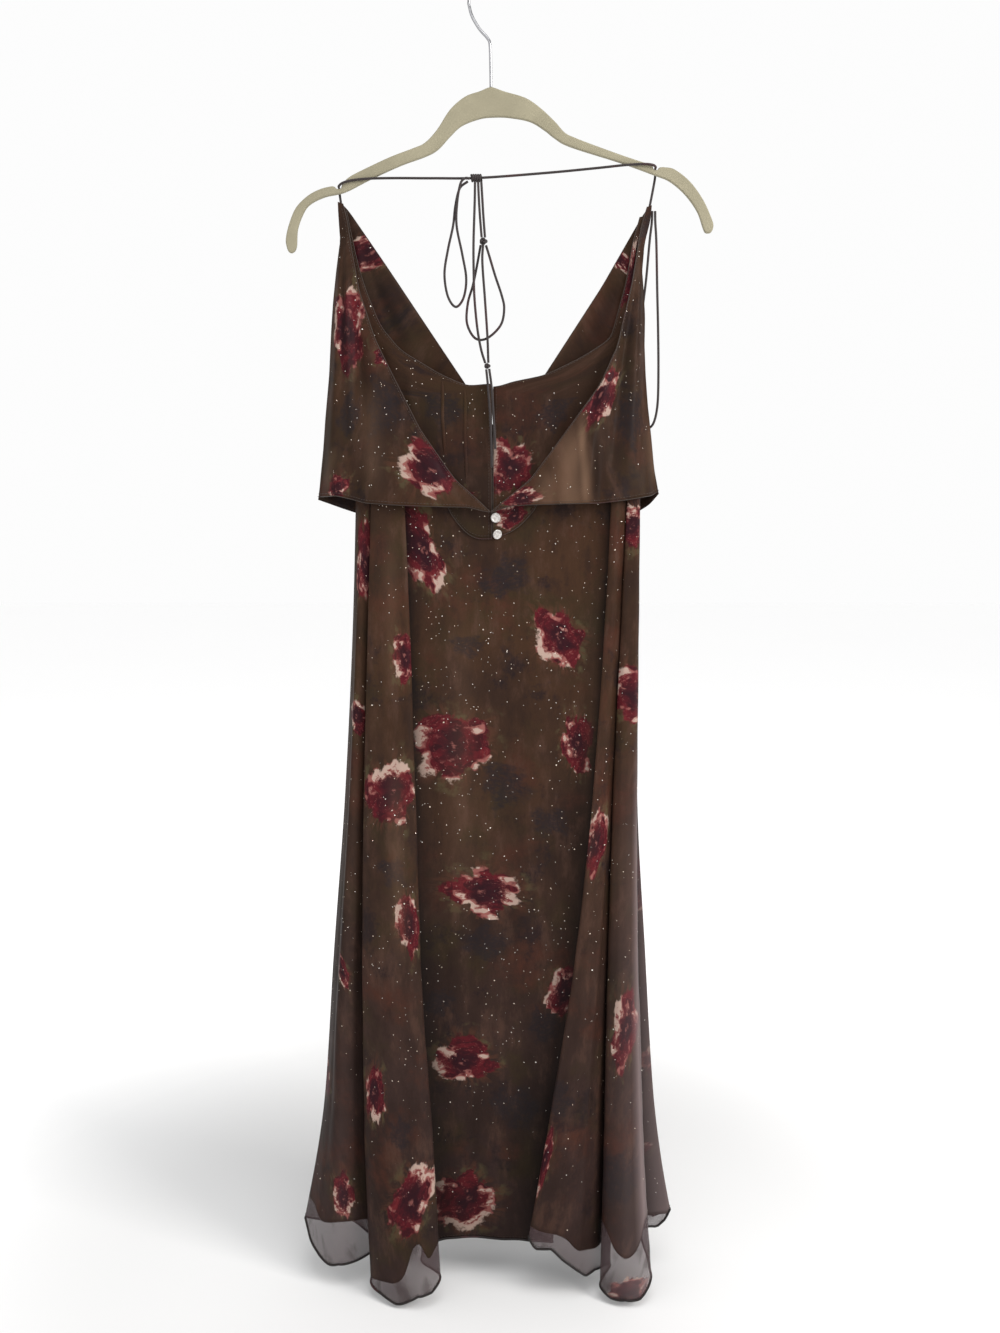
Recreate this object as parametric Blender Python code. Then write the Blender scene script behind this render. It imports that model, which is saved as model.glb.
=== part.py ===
# Maxi dress with a back flounce and halter string, on a slim hanger.
# Units are metres. Z is up, X runs to the right as the back of the dress is seen,
# and the back faces -Y. The origin is the top of the inside of the hanger's hook.
import bpy
import bmesh
import math
from mathutils import Vector

MM = 0.001
CLOTH = 1.2            # wall of the dress, mm
FLOUNCE_CLOTH = 1.1
LINING_CLOTH = 1.0
STRING_DIAMETER = 2.6
WAIST_Z = -506.0       # top of the skirt
SEAM_GAP = 0.1          # how far the lining starts below the skirt
LINING_HEM_Z = -1322.0
LINING_SIDE_INSET = 7.0

HANGER_THICK = 5.0
HANGER_ROUND = 1.2
HOOK_WIRE = 3.2
HOOK_INNER_RADIUS = 21.5

BUTTON_RADIUS = 5.3
BUTTON_THICK = 2.6


# Heights at which the skirt tables give an x, as a share of the way from waist to hem.
SKIRT_SHARES = (0.0, 0.17, 0.40, 0.63, 0.82, 1.0)
# Shares at which they give a y.
SKIRT_DEPTH_SHARES = (0.0, 0.63, 1.0)

# Back of the skirt, one row per fold station from the left side seam to the right.
# name, x at waist, hip, thigh, knee, calf, hem, y at waist, knee, hem, hem height
SKIRT_BACK = (
    ("side_left",   -145, -150, -161, -177, -189, -214,  -0.8,  -0.8,  -0.8, -1353),
    ("a_turn",      -140, -146, -156, -170, -180, -197,  -7, -16, -22, -1364),
    ("a_crest",     -133, -140, -149, -160, -167, -171, -10, -26, -42, -1378),
    ("ab_valley",   -126, -132, -139, -143.5, -143.5, -139,  -8, -14, -24, -1364),
    ("b_rise",      -119, -124, -130, -133, -132, -128, -14, -34, -54, -1394),
    ("b_crest",     -111, -113, -116, -114, -110, -104, -18, -46, -76, -1403),
    ("b_front",     -101,  -99,  -96,  -91,  -84,  -80, -19, -48, -80, -1397),
    ("b_edge",       -93.6, -88, -82,  -76,  -64.5, -56, -17, -43, -69, -1376),
    ("b_under",      -99,  -95,  -92,  -90,  -82,  -78, -13, -30, -45, -1371),
    ("panel_start",  -92,  -85,  -78,  -73,  -66,  -62,  -9, -17, -24, -1362),
    ("panel_left",   -50,  -48,  -45,  -40,  -38,  -34,  -9, -14, -20, -1360),
    ("panel_mid",      0,    0,    0,    0,    0,    0,  -9, -14, -18, -1361),
    ("panel_right",   70,   66,   58,   46,   34,   28,  -9, -14, -20, -1360),
    ("panel_end",    127,  119,  107,   88,   67,   50,  -9, -17, -24, -1360),
    ("c_under",      135,  129,  121,  107,   86,   68, -13, -28, -41, -1352),
    ("c_edge",       129,  122.6, 110.5, 91,  66.5, 41, -17, -40, -60, -1337),
    ("c_front",      134,  128,  118,  102,   84,   68, -20, -44, -68, -1348),
    ("c_fall",       139,  133,  124,  112,  101,   92, -18, -40, -64, -1362),
    ("c_low",        143,  137,  128,  120,  114,  109, -14, -30, -50, -1380),
    ("cd_valley",    146,  140,  132,  127,  125,  122, -11, -22, -39, -1386),
    ("d_rise",       149,  144.5, 138, 133,  131,  128, -14, -32, -58, -1395),
    ("d_crest",      153,  150,  146,  144,  144,  146, -17, -44, -77, -1400),
    ("d_fall",       157,  156,  154,  156,  159,  165, -16, -42, -73, -1389),
    ("d_edge",       159.5, 160, 159.5, 163, 169, 178, -10, -32, -54, -1379),
    ("side_turn",    159,  160,  161,  169,  177,  192,  -5, -14, -20, -1354),
    ("side_right",   156,  158,  160.5, 172, 183,  204,  -0.8, -0.8, -0.8, -1349),
)

# Front of the skirt, same columns.
SKIRT_FRONT = (
    ("side_left",   -145, -150, -161, -177, -189, -214, 0.8,  0.8,  0.8, -1353),
    ("f_turn",      -130, -134, -142, -152, -160, -180,   7,   18,   34, -1365),
    ("f_valley_1",  -106, -109, -113, -119, -123, -130,  10,   14,   20, -1381),
    ("f_crest_1",    -80,  -80,  -82,  -84,  -86,  -92,  12,   26,   44, -1388),
    ("f_valley_2",   -45,  -45,  -45,  -46,  -46,  -46,   9,   14,   22, -1376),
    ("f_crest_2",      0,    0,    0,    0,    0,    2,  12,   24,   40, -1384),
    ("f_valley_3",    45,   45,   45,   45,   45,   46,   9,   15,   24, -1376),
    ("f_crest_3",     84,   85,   86,   86,   88,   92,  12,   27,   46, -1386),
    ("f_valley_4",   112,  114,  116,  121,  125,  131,  10,   15,   22, -1372),
    ("f_turn_2",     136,  139,  144,  153,  163,  179,   7,   18,   34, -1360),
    ("side_right",   156,  158,  160.5, 172, 183,  204, 0.8,  0.8,  0.8, -1349),
)

# Lining: height, half depth
LINING_DEPTHS = ((-506, 7.4), (-545, 5.8), (-650, 5.6), (-850, 6.6), (-1050, 8.0), (-1200, 9.6), (-1322, 11.0))

# Outlines of the flat pieces, as (x, z) in mm.
BODICE_SIDE_LEFT = ((-157.8, -222), (-154.5, -236), (-151.5, -256), (-149.5, -285), (-149, -320), (-148, -370), (-147, -430), (-146, -505.4))
BODICE_SIDE_RIGHT = ((165.0, -228), (159.6, -240), (153.6, -260), (150.0, -290), (152, -325), (153.5, -370), (156, -430), (156.5, -505.4))
FRONT_NECK = ((-157.8, -222), (-154.8, -223), (-112, -284), (-26.2, -410.3), (-9, -437), (1, -451), (10, -459),
              (19, -452), (29, -441), (57.7, -397.6), (118, -306), (161.6, -231), (165.0, -228))
BACK_NECK_LEFT = ((-152.5, -229), (-147.0, -256), (-140.0, -288), (-131.7, -314), (-117.4, -349),
                  (-96.4, -374), (-54.3, -399), (-25.7, -411.5), (-9, -409.5), (0.6, -409))
BACK_NECK_RIGHT = ((156.6, -236), (149.3, -262), (143.0, -302), (127.0, -361.7), (96.1, -381.4), (57.0, -400.1), (19.9, -407.4),
                   (6.1, -413), (2.4, -412))
BACK_TIP_LEFT = ((-156.4, -228), (-152.5, -229))
BACK_TIP_RIGHT = ((161.0, -235), (156.6, -236))
# The back pieces run on below the waist in two rounded flaps that the buttons hold.
BACK_LOW_LEFT = ((-146, -505.4), (-100, -505.4), (-58, -505.4), (-52.5, -522), (-44, -545), (-34, -558.5), (-25, -568), (-14, -573), (0.2, -572.5))
BACK_LOW_RIGHT = ((156.5, -505.4), (105, -505.4), (60, -505.4), (55, -520), (47, -541), (33, -556.5), (24, -563.5), (12, -569), (1.8, -570.5))
FLOUNCE_OUT_LEFT = ((-160.9, -221), (-160.8, -229), (-159.1, -260), (-163.7, -291), (-167.3, -321), (-169.9, -352),
                    (-172.7, -399), (-177.6, -446), (-180.2, -478), (-183.9, -510), (-185.6, -527.5))
FLOUNCE_IN_LEFT = ((-155.6, -223), (-151.3, -239), (-145.6, -276), (-138.8, -314), (-121.6, -365), (-111.3, -386),
                   (-75.1, -458), (-38.4, -510.5), (-14.0, -532), (-1.3, -544.2))
FLOUNCE_HEM_LEFT = ((-185.6, -527.5), (-175, -528), (-164.6, -527), (-143.6, -532), (-133.1, -535), (-96.2, -537.5),
                    (-50, -539), (-24.3, -539.2), (-10, -543), (-1.3, -544.2))
FLOUNCE_OUT_RIGHT = ((168.7, -224.5), (167.5, -240), (161.9, -262), (159.6, -291), (161.4, -310), (163.4, -337),
                     (163.2, -368), (164.7, -399), (167.2, -431), (170.8, -462), (174.3, -494), (178.6, -522))
FLOUNCE_IN_RIGHT = ((163.9, -226), (157.8, -246), (148.6, -304), (133.0, -371), (114.4, -412), (72.6, -469),
                    (41.1, -511), (14.6, -532), (-0.4, -544.4))
FLOUNCE_HEM_RIGHT = ((178.6, -522), (172.7, -526.5), (144.3, -531.5), (114.8, -535), (72.6, -536), (35, -537),
                     (19.9, -538), (9, -541.5), (-0.4, -544.4))
FLOUNCE_FRONT_HEM = ((-186.8, -530.5), (-167, -538), (-147.3, -544.7), (-60, -552), (5, -556), (70, -552),
                     (157.2, -544.7), (171, -536), (180.4, -524))
FLOUNCE_FRONT_LEFT = ((-160.9, -221), (-160.8, -229), (-159.1, -260), (-163.7, -291), (-167.3, -321), (-169.9, -352),
                      (-172.7, -399), (-177.6, -446), (-180.2, -478), (-183.9, -510), (-186.8, -530.5))
FLOUNCE_FRONT_RIGHT = ((168.7, -224.5), (167.5, -240), (161.9, -262), (159.6, -291), (161.4, -310), (163.4, -337),
                       (163.2, -368), (164.7, -399), (167.2, -431), (170.8, -462), (174.3, -494), (180.4, -524))
FLOUNCE_FRONT_NECK = ((-160.9, -221), (-156.5, -222), (-112, -285), (-26.2, -412.5), (-9, -439.5), (1, -453.5), (10, -461.5),
                      (19, -454.5), (29, -443.5), (57.7, -400), (118, -308.5), (163.9, -226), (168.7, -224.5))

# y of the flat pieces: height, y at the side edge, y away from it
BODICE_BACK_Y = ((-219, -1.6, -1.6), (-250, -2.2, -2.6), (-310, -3.3, -4.0), (-350, -3.4, -5.0), (-372, -0.8, -5.6), (-430, -0.8, -6.6), (-482, -0.8, -8.2),
                 (-503, -0.8, -11.0), (-512, -0.8, -11.6))
BODICE_FRONT_Y = ((-219, 1.6, 1.6), (-250, 1.8, 2.4), (-310, 3.1, 6.4), (-350, 3.1, 9.0), (-372, 0.8, 10.0), (-430, 0.8, 11.0), (-504, 0.8, 9.0))

# Waves of the flounce at its hem: x, y at the hem
FLOUNCE_BACK_WAVES = ((-187, -1.5), (-178, -15), (-165, -24), (-149, -17), (-128, -27), (-100, -31), (-70, -29),
                      (-35, -23), (0, -19.5), (35, -23), (72, -29), (104, -31), (116, -24), (128, -27), (150, -22), (166, -18), (180, -1.5))
FLOUNCE_FRONT_WAVES = ((-188, 1.5), (-172, 17), (-140, 24), (-105, 19), (-60, 26), (-20, 20), (25, 27), (70, 20),
                       (110, 26), (145, 20), (165, 15), (182, 1.5))
# how far the wave has grown at each height, and how far the side edge stands off the side seam
FLOUNCE_GROWTH = ((-219, 0.05, 4.4), (-240, 0.20, 2.6), (-270, 0.36, 0.75), (-330, 0.55, 0.75), (-400, 0.70, 0.75), (-470, 0.85, 0.75), (-530, 1.0, 0.75))
FLOUNCE_TIP_Y = 4.4
FLOUNCE_SIDE_TURN = 7.0

FLAP_Y = -11.6
BUTTONS = (("button_top", 4.7, -550.4), ("button_low", 6.4, -568.0))

# Hanger: upper edge left to right, then lower edge right to left, with its two string notches.
HANGER_UPPER = ((-215.9, -266), (-216.6, -258), (-213.2, -243.6), (-205.5, -226.3), (-192.7, -214.0), (-179.9, -207.4),
                (-168.5, -204.6), (-164.4, -205.0), (-162.2, -206.9), (-158.0, -206.7), (-156.2, -202.4), (-150, -195.8),
                (-137.7, -189.2), (-106.0, -174.8), (-82, -166), (-69.3, -160.3), (-56.6, -147.2), (-42.9, -127.1),
                (-27.2, -114.1), (-11.6, -108.6), (-4.5, -105.6), (-0.1, -104.6), (4.5, -105.6), (14.5, -109.1), (35.4, -115.1),
                (51.1, -125.1), (66.8, -139.2), (77.3, -150.3), (88, -155.4), (103.6, -161.3), (135.1, -172.3), (157, -179.4),
                (168.0, -182.6), (170.6, -187.2), (174.2, -187.8), (176.6, -185.4), (183, -185.2), (193.0, -187.6),
                (208.9, -199.8), (222.9, -218.1), (232.7, -238.5), (234.1, -246), (231.5, -251.5))
HANGER_LOWER = ((226, -251.8), (223.0, -246.7), (216.8, -230.3), (203.9, -213.0), (187.9, -199.8), (172.1, -193.4), (135.2, -180.5),
                (82.6, -164.4), (66, -155.5), (56.4, -148.2), (40.7, -139.2), (19.8, -135.2), (4.1, -134.6), (-11.6, -136.2),
                (-30.4, -143.2), (-43.0, -154.3), (-55.7, -167.4), (-69.3, -174.5), (-95.6, -183.8), (-127.3, -197.8),
                (-153.7, -210.6), (-174.8, -215.4), (-190.7, -223.2), (-198.2, -233.4), (-203.8, -248.7), (-205.2, -266),
                (-209, -272), (-213.5, -271.5))
# Hook below its round part: x, z
HOOK_STEM = ((-0.1, -104.1), (-0.4, -84), (-1.1, -62.2), (-3.6, -55.6), (-11.5, -47.0), (-18.4, -36.4), (-21.8, -28.0))
HOOK_END_ANGLE = -32.0

# Strings: route points x, y, z in mm.
HALTER_STRING = ((-158.6, 4.6, -220.2), (-159.6, 4.8, -213.5), (-160.1, 4.7, -208.8), (-160.2, 3.2, -205.6), (-160.1, 0.0, -205.0),
                 (-159.6, -3.0, -204.6), (-155.5, -4.7, -202.0), (-146, -4.7, -199.4), (-128, -4.5, -197.6),
                 (-100, -2.0, -196.4), (-60, 0.0, -196.0), (-12, 0.0, -195.6), (60, 0.0, -190.4), (110, -1.6, -186.2), (140, -4.4, -183.9),
                 (160, -4.7, -182.9), (169.0, -4.6, -183.8), (172.2, -3.2, -185.3), (172.4, 0.0, -185.8), (172.6, 3.2, -186.3),
                 (172.9, 4.6, -189.0), (172.6, 4.8, -195), (170.4, 4.8, -208), (167.4, 4.6, -223.6))
BOW_LEFT = ((-22.7, -3.6, -197.4), (-27, -5.4, -197.4), (-32.0, -6.2, -203), (-35.5, -6.4, -222), (-36.2, -6.4, -246), (-30.4, -6.4, -275),
            (-26.3, -6.6, -300), (-29.3, -6.6, -320), (-37.5, -6.4, -329), (-45.8, -6.2, -318), (-49.2, -6.2, -295),
            (-45.4, -6.0, -270), (-40.0, -5.6, -246), (-37.6, -3.0, -225), (-33.0, -2.4, -207), (-24.4, -2.2, -199.8))
BOW_RIGHT = ((-5.4, -7.0, -266.1), (-1.6, -6.8, -278), (4.2, -6.8, -297), (11.0, -7.0, -317), (13.7, -7.0, -331), (10.0, -7.0, -348),
             (-4.3, -7.0, -361.5), (-17, -7.0, -361.5), (-25.6, -6.8, -346), (-24.6, -6.6, -325), (-19.6, -6.4, -308),
             (-15.6, -6.4, -290), (-11.0, -7.0, -265.8))
BAND_1 = ((-13.6, -2.2, -200.65), (-13.0, -4.6, -215), (-11.8, -6.2, -235), (-10.0, -7.2, -257.8))
BAND_2 = ((-10.3, -2.2, -200.65), (-9.4, -4.4, -215), (-8.2, -6.0, -235), (-6.5, -7.0, -257.8))
TIE_END_1 = ((-16.9, -2.2, -200.65), (-17.2, -6.4, -222), (-18.4, -10.2, -262), (-18.4, -10.4, -290), (-17.6, -10.8, -320), (-14.6, -11.2, -352), (-10.6, -11.6, -374), (-6.3, -12.0, -388.0))
TIE_END_2 = ((-8.4, -9.6, -265.5), (-9.2, -10.4, -284), (-6.4, -10.8, -324), (-4.0, -11.4, -360), (-3.0, -12.0, -387.6))
TIE_TAIL_1 = ((-5.2, -12.2, -394.6), (-3.2, -12.6, -415), (-0.6, -13.4, -452), (0.6, -15.2, -497))
TIE_TAIL_2 = ((-2.1, -12.2, -394.0), (0.6, -12.6, -415), (3.0, -13.6, -452), (4.4, -14.8, -478))
SIDE_LOOP = ((170.1, 4.0, -228.6), (169.7, 3.2, -240), (167.5, 2.2, -260), (164.6, 3.2, -297), (162.2, 6.8, -322), (160.6, 9.5, -345),
             (159.8, 11.0, -375), (159.6, 13.0, -410), (160.4, 14.0, -438), (164.0, 12.0, -452), (170.0, 7.0, -454), (175.0, 3.0, -447),
             (178.1, 1.2, -428), (178.4, 0.4, -394), (177.4, 0.2, -350), (176.0, 0.4, -310), (174.6, 1.4, -262), (173.4, 3.2, -240),
             (173.2, 4.0, -228.6))
# name, route, samples
STRINGS = (
    ("halter_string", HALTER_STRING, 44),
    ("bow_loop_left", BOW_LEFT, 26),
    ("bow_loop_right", BOW_RIGHT, 24),
    ("bow_band_1", BAND_1, 5),
    ("bow_band_2", BAND_2, 5),
    ("tie_end_1", TIE_END_1, 12),
    ("tie_end_2", TIE_END_2, 9),
    ("tie_tail_1", TIE_TAIL_1, 7),
    ("tie_tail_2", TIE_TAIL_2, 6),
    ("side_loop", SIDE_LOOP, 26),
)
# Knots: name, centre x, y, z, half sizes x, y, z
KNOTS = (
    ("knot_middle", -8.2, -7.4, -262.0, 4.6, 3.4, 3.8),
    ("knot_low", -4.2, -12.2, -391.0, 3.6, 3.2, 3.0),
)
# The turn of the string laid over the halter string.
TURN_CENTRE = (-15.5, 0.0, -195.85)
TURN_LENGTH = 13.0
TURN_INNER_RADIUS = 1.9
TURN_OUTER_RADIUS = 4.3


def start_clean():
    for ob in list(bpy.data.objects):
        bpy.data.objects.remove(ob, do_unlink=True)


def mix(a, b, t):
    return a + (b - a) * t


def table_value(table, where, column=1):
    # Straight-line reading of a table sorted by its first column, falling or rising.
    rows = sorted(table)
    if where <= rows[0][0]:
        return rows[0][column]
    for low, high in zip(rows, rows[1:]):
        if where <= high[0]:
            share = (where - low[0]) / (high[0] - low[0])
            return mix(low[column], high[column], share)
    return rows[-1][column]


def smooth_value(xs, ys, where):
    # Cubic reading through the points with slopes that don't overshoot.
    count = len(xs)
    steps = [(ys[i + 1] - ys[i]) / (xs[i + 1] - xs[i]) for i in range(count - 1)]
    slopes = [steps[0]]
    for i in range(1, count - 1):
        if steps[i - 1] * steps[i] <= 0:
            slopes.append(0.0)
        else:
            slopes.append(2 * steps[i - 1] * steps[i] / (steps[i - 1] + steps[i]))
    slopes.append(steps[-1])
    k = 0
    while k < count - 2 and where > xs[k + 1]:
        k += 1
    span = xs[k + 1] - xs[k]
    t = min(1.0, max(0.0, (where - xs[k]) / span))
    a = (1 + 2 * t) * (1 - t) ** 2
    b = t * (1 - t) ** 2
    c = t * t * (3 - 2 * t)
    d = t * t * (t - 1)
    return a * ys[k] + b * span * slopes[k] + c * ys[k + 1] + d * span * slopes[k + 1]


def curve_point(points, k, t):
    p1, p2 = points[k], points[k + 1]
    p0 = points[k - 1] if k > 0 else p1 + (p1 - p2)
    p3 = points[k + 2] if k + 2 < len(points) else p2 + (p2 - p1)
    return 0.5 * ((2 * p1) + (p2 - p0) * t + (2 * p0 - 5 * p1 + 4 * p2 - p3) * t * t
                  + (3 * p1 - p0 - 3 * p2 + p3) * t ** 3)


def smooth_path(points, count, bend_share=14.0):
    # Points along a smooth curve through the route points, closer together where it bends.
    dense = []
    for k in range(len(points) - 1):
        for step in range(12):
            dense.append(curve_point(points, k, step / 12))
    dense.append(points[-1].copy())
    return even_steps(dense, count, bend_share)


def even_steps(points, count, bend_share=0.0):
    lengths = [0.0]
    for k in range(1, len(points)):
        step = (points[k] - points[k - 1]).length
        if bend_share and k + 1 < len(points):
            step += bend_share * (points[k] - points[k - 1]).angle(points[k + 1] - points[k], 0.0)
        lengths.append(lengths[-1] + step)
    result = []
    k = 0
    for i in range(count):
        where = lengths[-1] * i / (count - 1)
        while k < len(points) - 2 and lengths[k + 1] < where:
            k += 1
        span = lengths[k + 1] - lengths[k]
        t = (where - lengths[k]) / span if span > 0 else 0.0
        result.append(points[k].lerp(points[k + 1], t))
    return result


def outline(pairs, count):
    return even_steps([Vector((x, 0.0, z)) for x, z in pairs], count)


def patch(top, bottom, left, right, columns, rows, corner=0, pull=1):
    # Flat piece between four outlines. Left and right run from top to bottom. With a corner,
    # each of them is two lines that meet, the first of them taking that many rows. A higher
    # pull keeps the shape of the bottom line out of the upper rows.
    top = outline(top, columns)
    bottom = outline(bottom, columns)
    if corner:
        left = outline(left[0], corner) + outline(left[1], rows - corner + 1)[1:]
        right = outline(right[0], corner) + outline(right[1], rows - corner + 1)[1:]
    else:
        left = outline(left, rows)
        right = outline(right, rows)
    grid = []
    for j in range(rows):
        v = (j / (rows - 1)) ** pull
        line = []
        for i in range(columns):
            u = i / (columns - 1)
            point = top[i] * (1 - v) + bottom[i] * v + left[j] * (1 - u) + right[j] * u
            corners = (top[0] * (1 - u) + top[-1] * u) * (1 - v) + (bottom[0] * (1 - u) + bottom[-1] * u) * v
            line.append(point - corners)
        grid.append(line)
    return grid


def add_mesh(name, verts, faces):
    mesh = bpy.data.meshes.new(name)
    mesh.from_pydata([tuple(v * MM) for v in verts], [], faces)
    mesh.validate()
    bm = bmesh.new()
    bm.from_mesh(mesh)
    bmesh.ops.recalc_face_normals(bm, faces=bm.faces)
    if bm.calc_volume(signed=True) < 0:
        bmesh.ops.reverse_faces(bm, faces=bm.faces)
    bmesh.ops.triangulate(bm, faces=[f for f in bm.faces if len(f.verts) > 4])
    bm.to_mesh(mesh)
    bm.free()
    ob = bpy.data.objects.new(name, mesh)
    bpy.context.scene.collection.objects.link(ob)
    return ob


def cloth(name, grid, thick, closed=False):
    # A wall of one thickness on both sides of the grid, with its edges closed.
    rows, columns = len(grid), len(grid[0])
    near, far = [], []
    for j in range(rows):
        for i in range(columns):
            if closed:
                before, after = grid[j][(i - 1) % columns], grid[j][(i + 1) % columns]
            else:
                before, after = grid[j][max(i - 1, 0)], grid[j][min(i + 1, columns - 1)]
            above, below = grid[max(j - 1, 0)][i], grid[min(j + 1, rows - 1)][i]
            normal = (after - before).cross(below - above)
            normal.normalize()
            near.append(grid[j][i] + normal * thick / 2)
            far.append(grid[j][i] - normal * thick / 2)
    verts = near + far
    shift = len(near)
    faces = []
    across = columns if closed else columns - 1
    for j in range(rows - 1):
        for i in range(across):
            a = j * columns + i
            b = j * columns + (i + 1) % columns
            c, d = b + columns, a + columns
            faces.append((a, b, c, d))
            faces.append((a + shift, d + shift, c + shift, b + shift))
    last = (rows - 1) * columns
    for i in range(across):
        b = (i + 1) % columns
        faces.append((i, i + shift, b + shift, b))
        faces.append((last + i, last + b, last + b + shift, last + i + shift))
    if not closed:
        for j in range(rows - 1):
            a, d = j * columns, (j + 1) * columns
            faces.append((a, d, d + shift, a + shift))
            a, d = a + columns - 1, d + columns - 1
            faces.append((a, a + shift, d + shift, d))
    return add_mesh(name, verts, faces)


def station(row, share):
    x = smooth_value(SKIRT_SHARES, row[1:7], share)
    y = smooth_value(SKIRT_DEPTH_SHARES, row[7:10], share)
    return Vector((x, y, mix(WAIST_Z, row[10], share)))


def skirt_grid(table, rows, per_fold):
    grid = []
    for j in range(rows):
        share = j / (rows - 1)
        stations = [station(row, share) for row in table]
        line = []
        for k in range(len(stations) - 1):
            for step in range(per_fold):
                line.append(curve_point(stations, k, step / per_fold))
        line.append(stations[-1])
        grid.append(line)
    return grid


def lining_grid(rows, half_columns):
    grid = []
    top = WAIST_Z - SEAM_GAP
    for j in range(rows):
        z = mix(top, LINING_HEM_Z, j / (rows - 1))
        share = (WAIST_Z - z) / (WAIST_Z - SKIRT_BACK[0][10])
        left = smooth_value(SKIRT_SHARES, SKIRT_BACK[0][1:7], share) + LINING_SIDE_INSET
        right = smooth_value(SKIRT_SHARES, SKIRT_BACK[-1][1:7], share) - LINING_SIDE_INSET
        depth = table_value(LINING_DEPTHS, z)
        line = []
        for i in range(2 * half_columns):
            turn = math.pi * i / half_columns
            across = -math.cos(turn)
            bulge = math.sin(turn)
            bulge = math.copysign(abs(bulge) ** 0.7, bulge)
            line.append(Vector((mix(left, right, 0.5 + 0.5 * across), -depth * bulge, z)))
        grid.append(line)
    return grid


def shaped(grid, table, side_lines):
    # y of the bodice: near a side line it comes in to the side seam.
    for line in grid:
        for point in line:
            at_side = table_value(table, point.z, 1)
            away = table_value(table, point.z, 2)
            reach = min(abs(point.x - table_value([(z, x) for x, z in side], point.z)) for side in side_lines)
            point.y = mix(away, at_side, math.exp(-reach / 12.0))
    return grid


def waved(grid, waves, facing):
    # Folds grow toward the hem, and the outer edges stay by the side seam.
    for line in grid:
        for point in line:
            grown = table_value(FLOUNCE_GROWTH, point.z)
            at_side = facing * table_value(FLOUNCE_GROWTH, point.z, 2)
            wave = table_value(waves, point.x / mix(0.87, 1.0, grown))
            away = mix(facing * FLOUNCE_TIP_Y, wave, grown)
            reach = min(abs(point.x - table_value([(z, x) for x, z in side], point.z))
                        for side in (FLOUNCE_FRONT_LEFT, FLOUNCE_FRONT_RIGHT))
            point.y = mix(away, at_side, math.exp(-reach / FLOUNCE_SIDE_TURN))
    return grid


def tube(name, points, radius, sides):
    # Round wire along a path, with flat ends.
    rings = []
    last_normal = Vector((0.0, 1.0, 0.0))
    for k, point in enumerate(points):
        before, after = points[max(k - 1, 0)], points[min(k + 1, len(points) - 1)]
        tangent = (after - before).normalized()
        normal = (last_normal - tangent * last_normal.dot(tangent)).normalized()
        side = tangent.cross(normal)
        last_normal = normal
        rings.append([point + (normal * math.cos(2 * math.pi * s / sides) + side * math.sin(2 * math.pi * s / sides)) * radius
                      for s in range(sides)])
    verts = [v for ring in rings for v in ring]
    faces = []
    for k in range(len(rings) - 1):
        for s in range(sides):
            a = k * sides + s
            b = k * sides + (s + 1) % sides
            faces.append((a, b, b + sides, a + sides))
    faces.append(tuple(range(sides)))
    faces.append(tuple((len(rings) - 1) * sides + s for s in range(sides)))
    return add_mesh(name, verts, faces)


def hanger_body():
    edge = [Vector((x, 0, z)) for x, z in HANGER_UPPER] + [Vector((x, 0, z)) for x, z in HANGER_LOWER]
    half = HANGER_THICK / 2
    count = len(edge)
    # rings from the front face round the edge to the back face: y, how far in from the edge
    profile = ((-half, HANGER_ROUND), (-half + 0.35, 0.35), (-half + HANGER_ROUND, 0.0),
               (half - HANGER_ROUND, 0.0), (half - 0.35, 0.35), (half, HANGER_ROUND))
    inward = []
    for k in range(count):
        along = (edge[(k + 1) % count] - edge[k - 1]).normalized()
        inward.append(Vector((along.z, 0, -along.x)))
    verts = []
    for y, inset in profile:
        for point, turn in zip(edge, inward):
            verts.append(Vector((point.x, y, point.z)) + turn * inset)
    faces = []
    for r in range(len(profile) - 1):
        for k in range(count):
            a = r * count + k
            b = r * count + (k + 1) % count
            faces.append((a, b, b + count, a + count))
    faces.append(tuple(range(count)))
    faces.append(tuple(reversed(range((len(profile) - 1) * count, len(profile) * count))))
    return add_mesh("hanger_body", verts, faces)


def hanger_hook():
    radius = HOOK_INNER_RADIUS + HOOK_WIRE / 2
    centre_z = -HOOK_INNER_RADIUS
    stem = smooth_path([Vector((x, 0.0, z)) for x, z in HOOK_STEM], 14)
    round_part = []
    steps = 20
    for k in range(steps + 1):
        angle = math.radians(mix(180.0, HOOK_END_ANGLE, k / steps))
        round_part.append(Vector((radius * math.cos(angle), 0.0, centre_z + radius * math.sin(angle))))
    return tube("hanger_hook", stem[:-1] + round_part, HOOK_WIRE / 2, 10)


def string(name, route, count):
    curve = bpy.data.curves.new(name, "CURVE")
    curve.dimensions = "3D"
    curve.bevel_depth = STRING_DIAMETER * MM / 2
    curve.bevel_resolution = 2
    curve.use_fill_caps = True
    points = smooth_path([Vector(p) for p in route], count)
    spline = curve.splines.new("POLY")
    spline.points.add(len(points) - 1)
    for slot, point in zip(spline.points, points):
        slot.co = (point.x * MM, point.y * MM, point.z * MM, 1.0)
    ob = bpy.data.objects.new(name, curve)
    bpy.context.scene.collection.objects.link(ob)
    return ob


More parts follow.
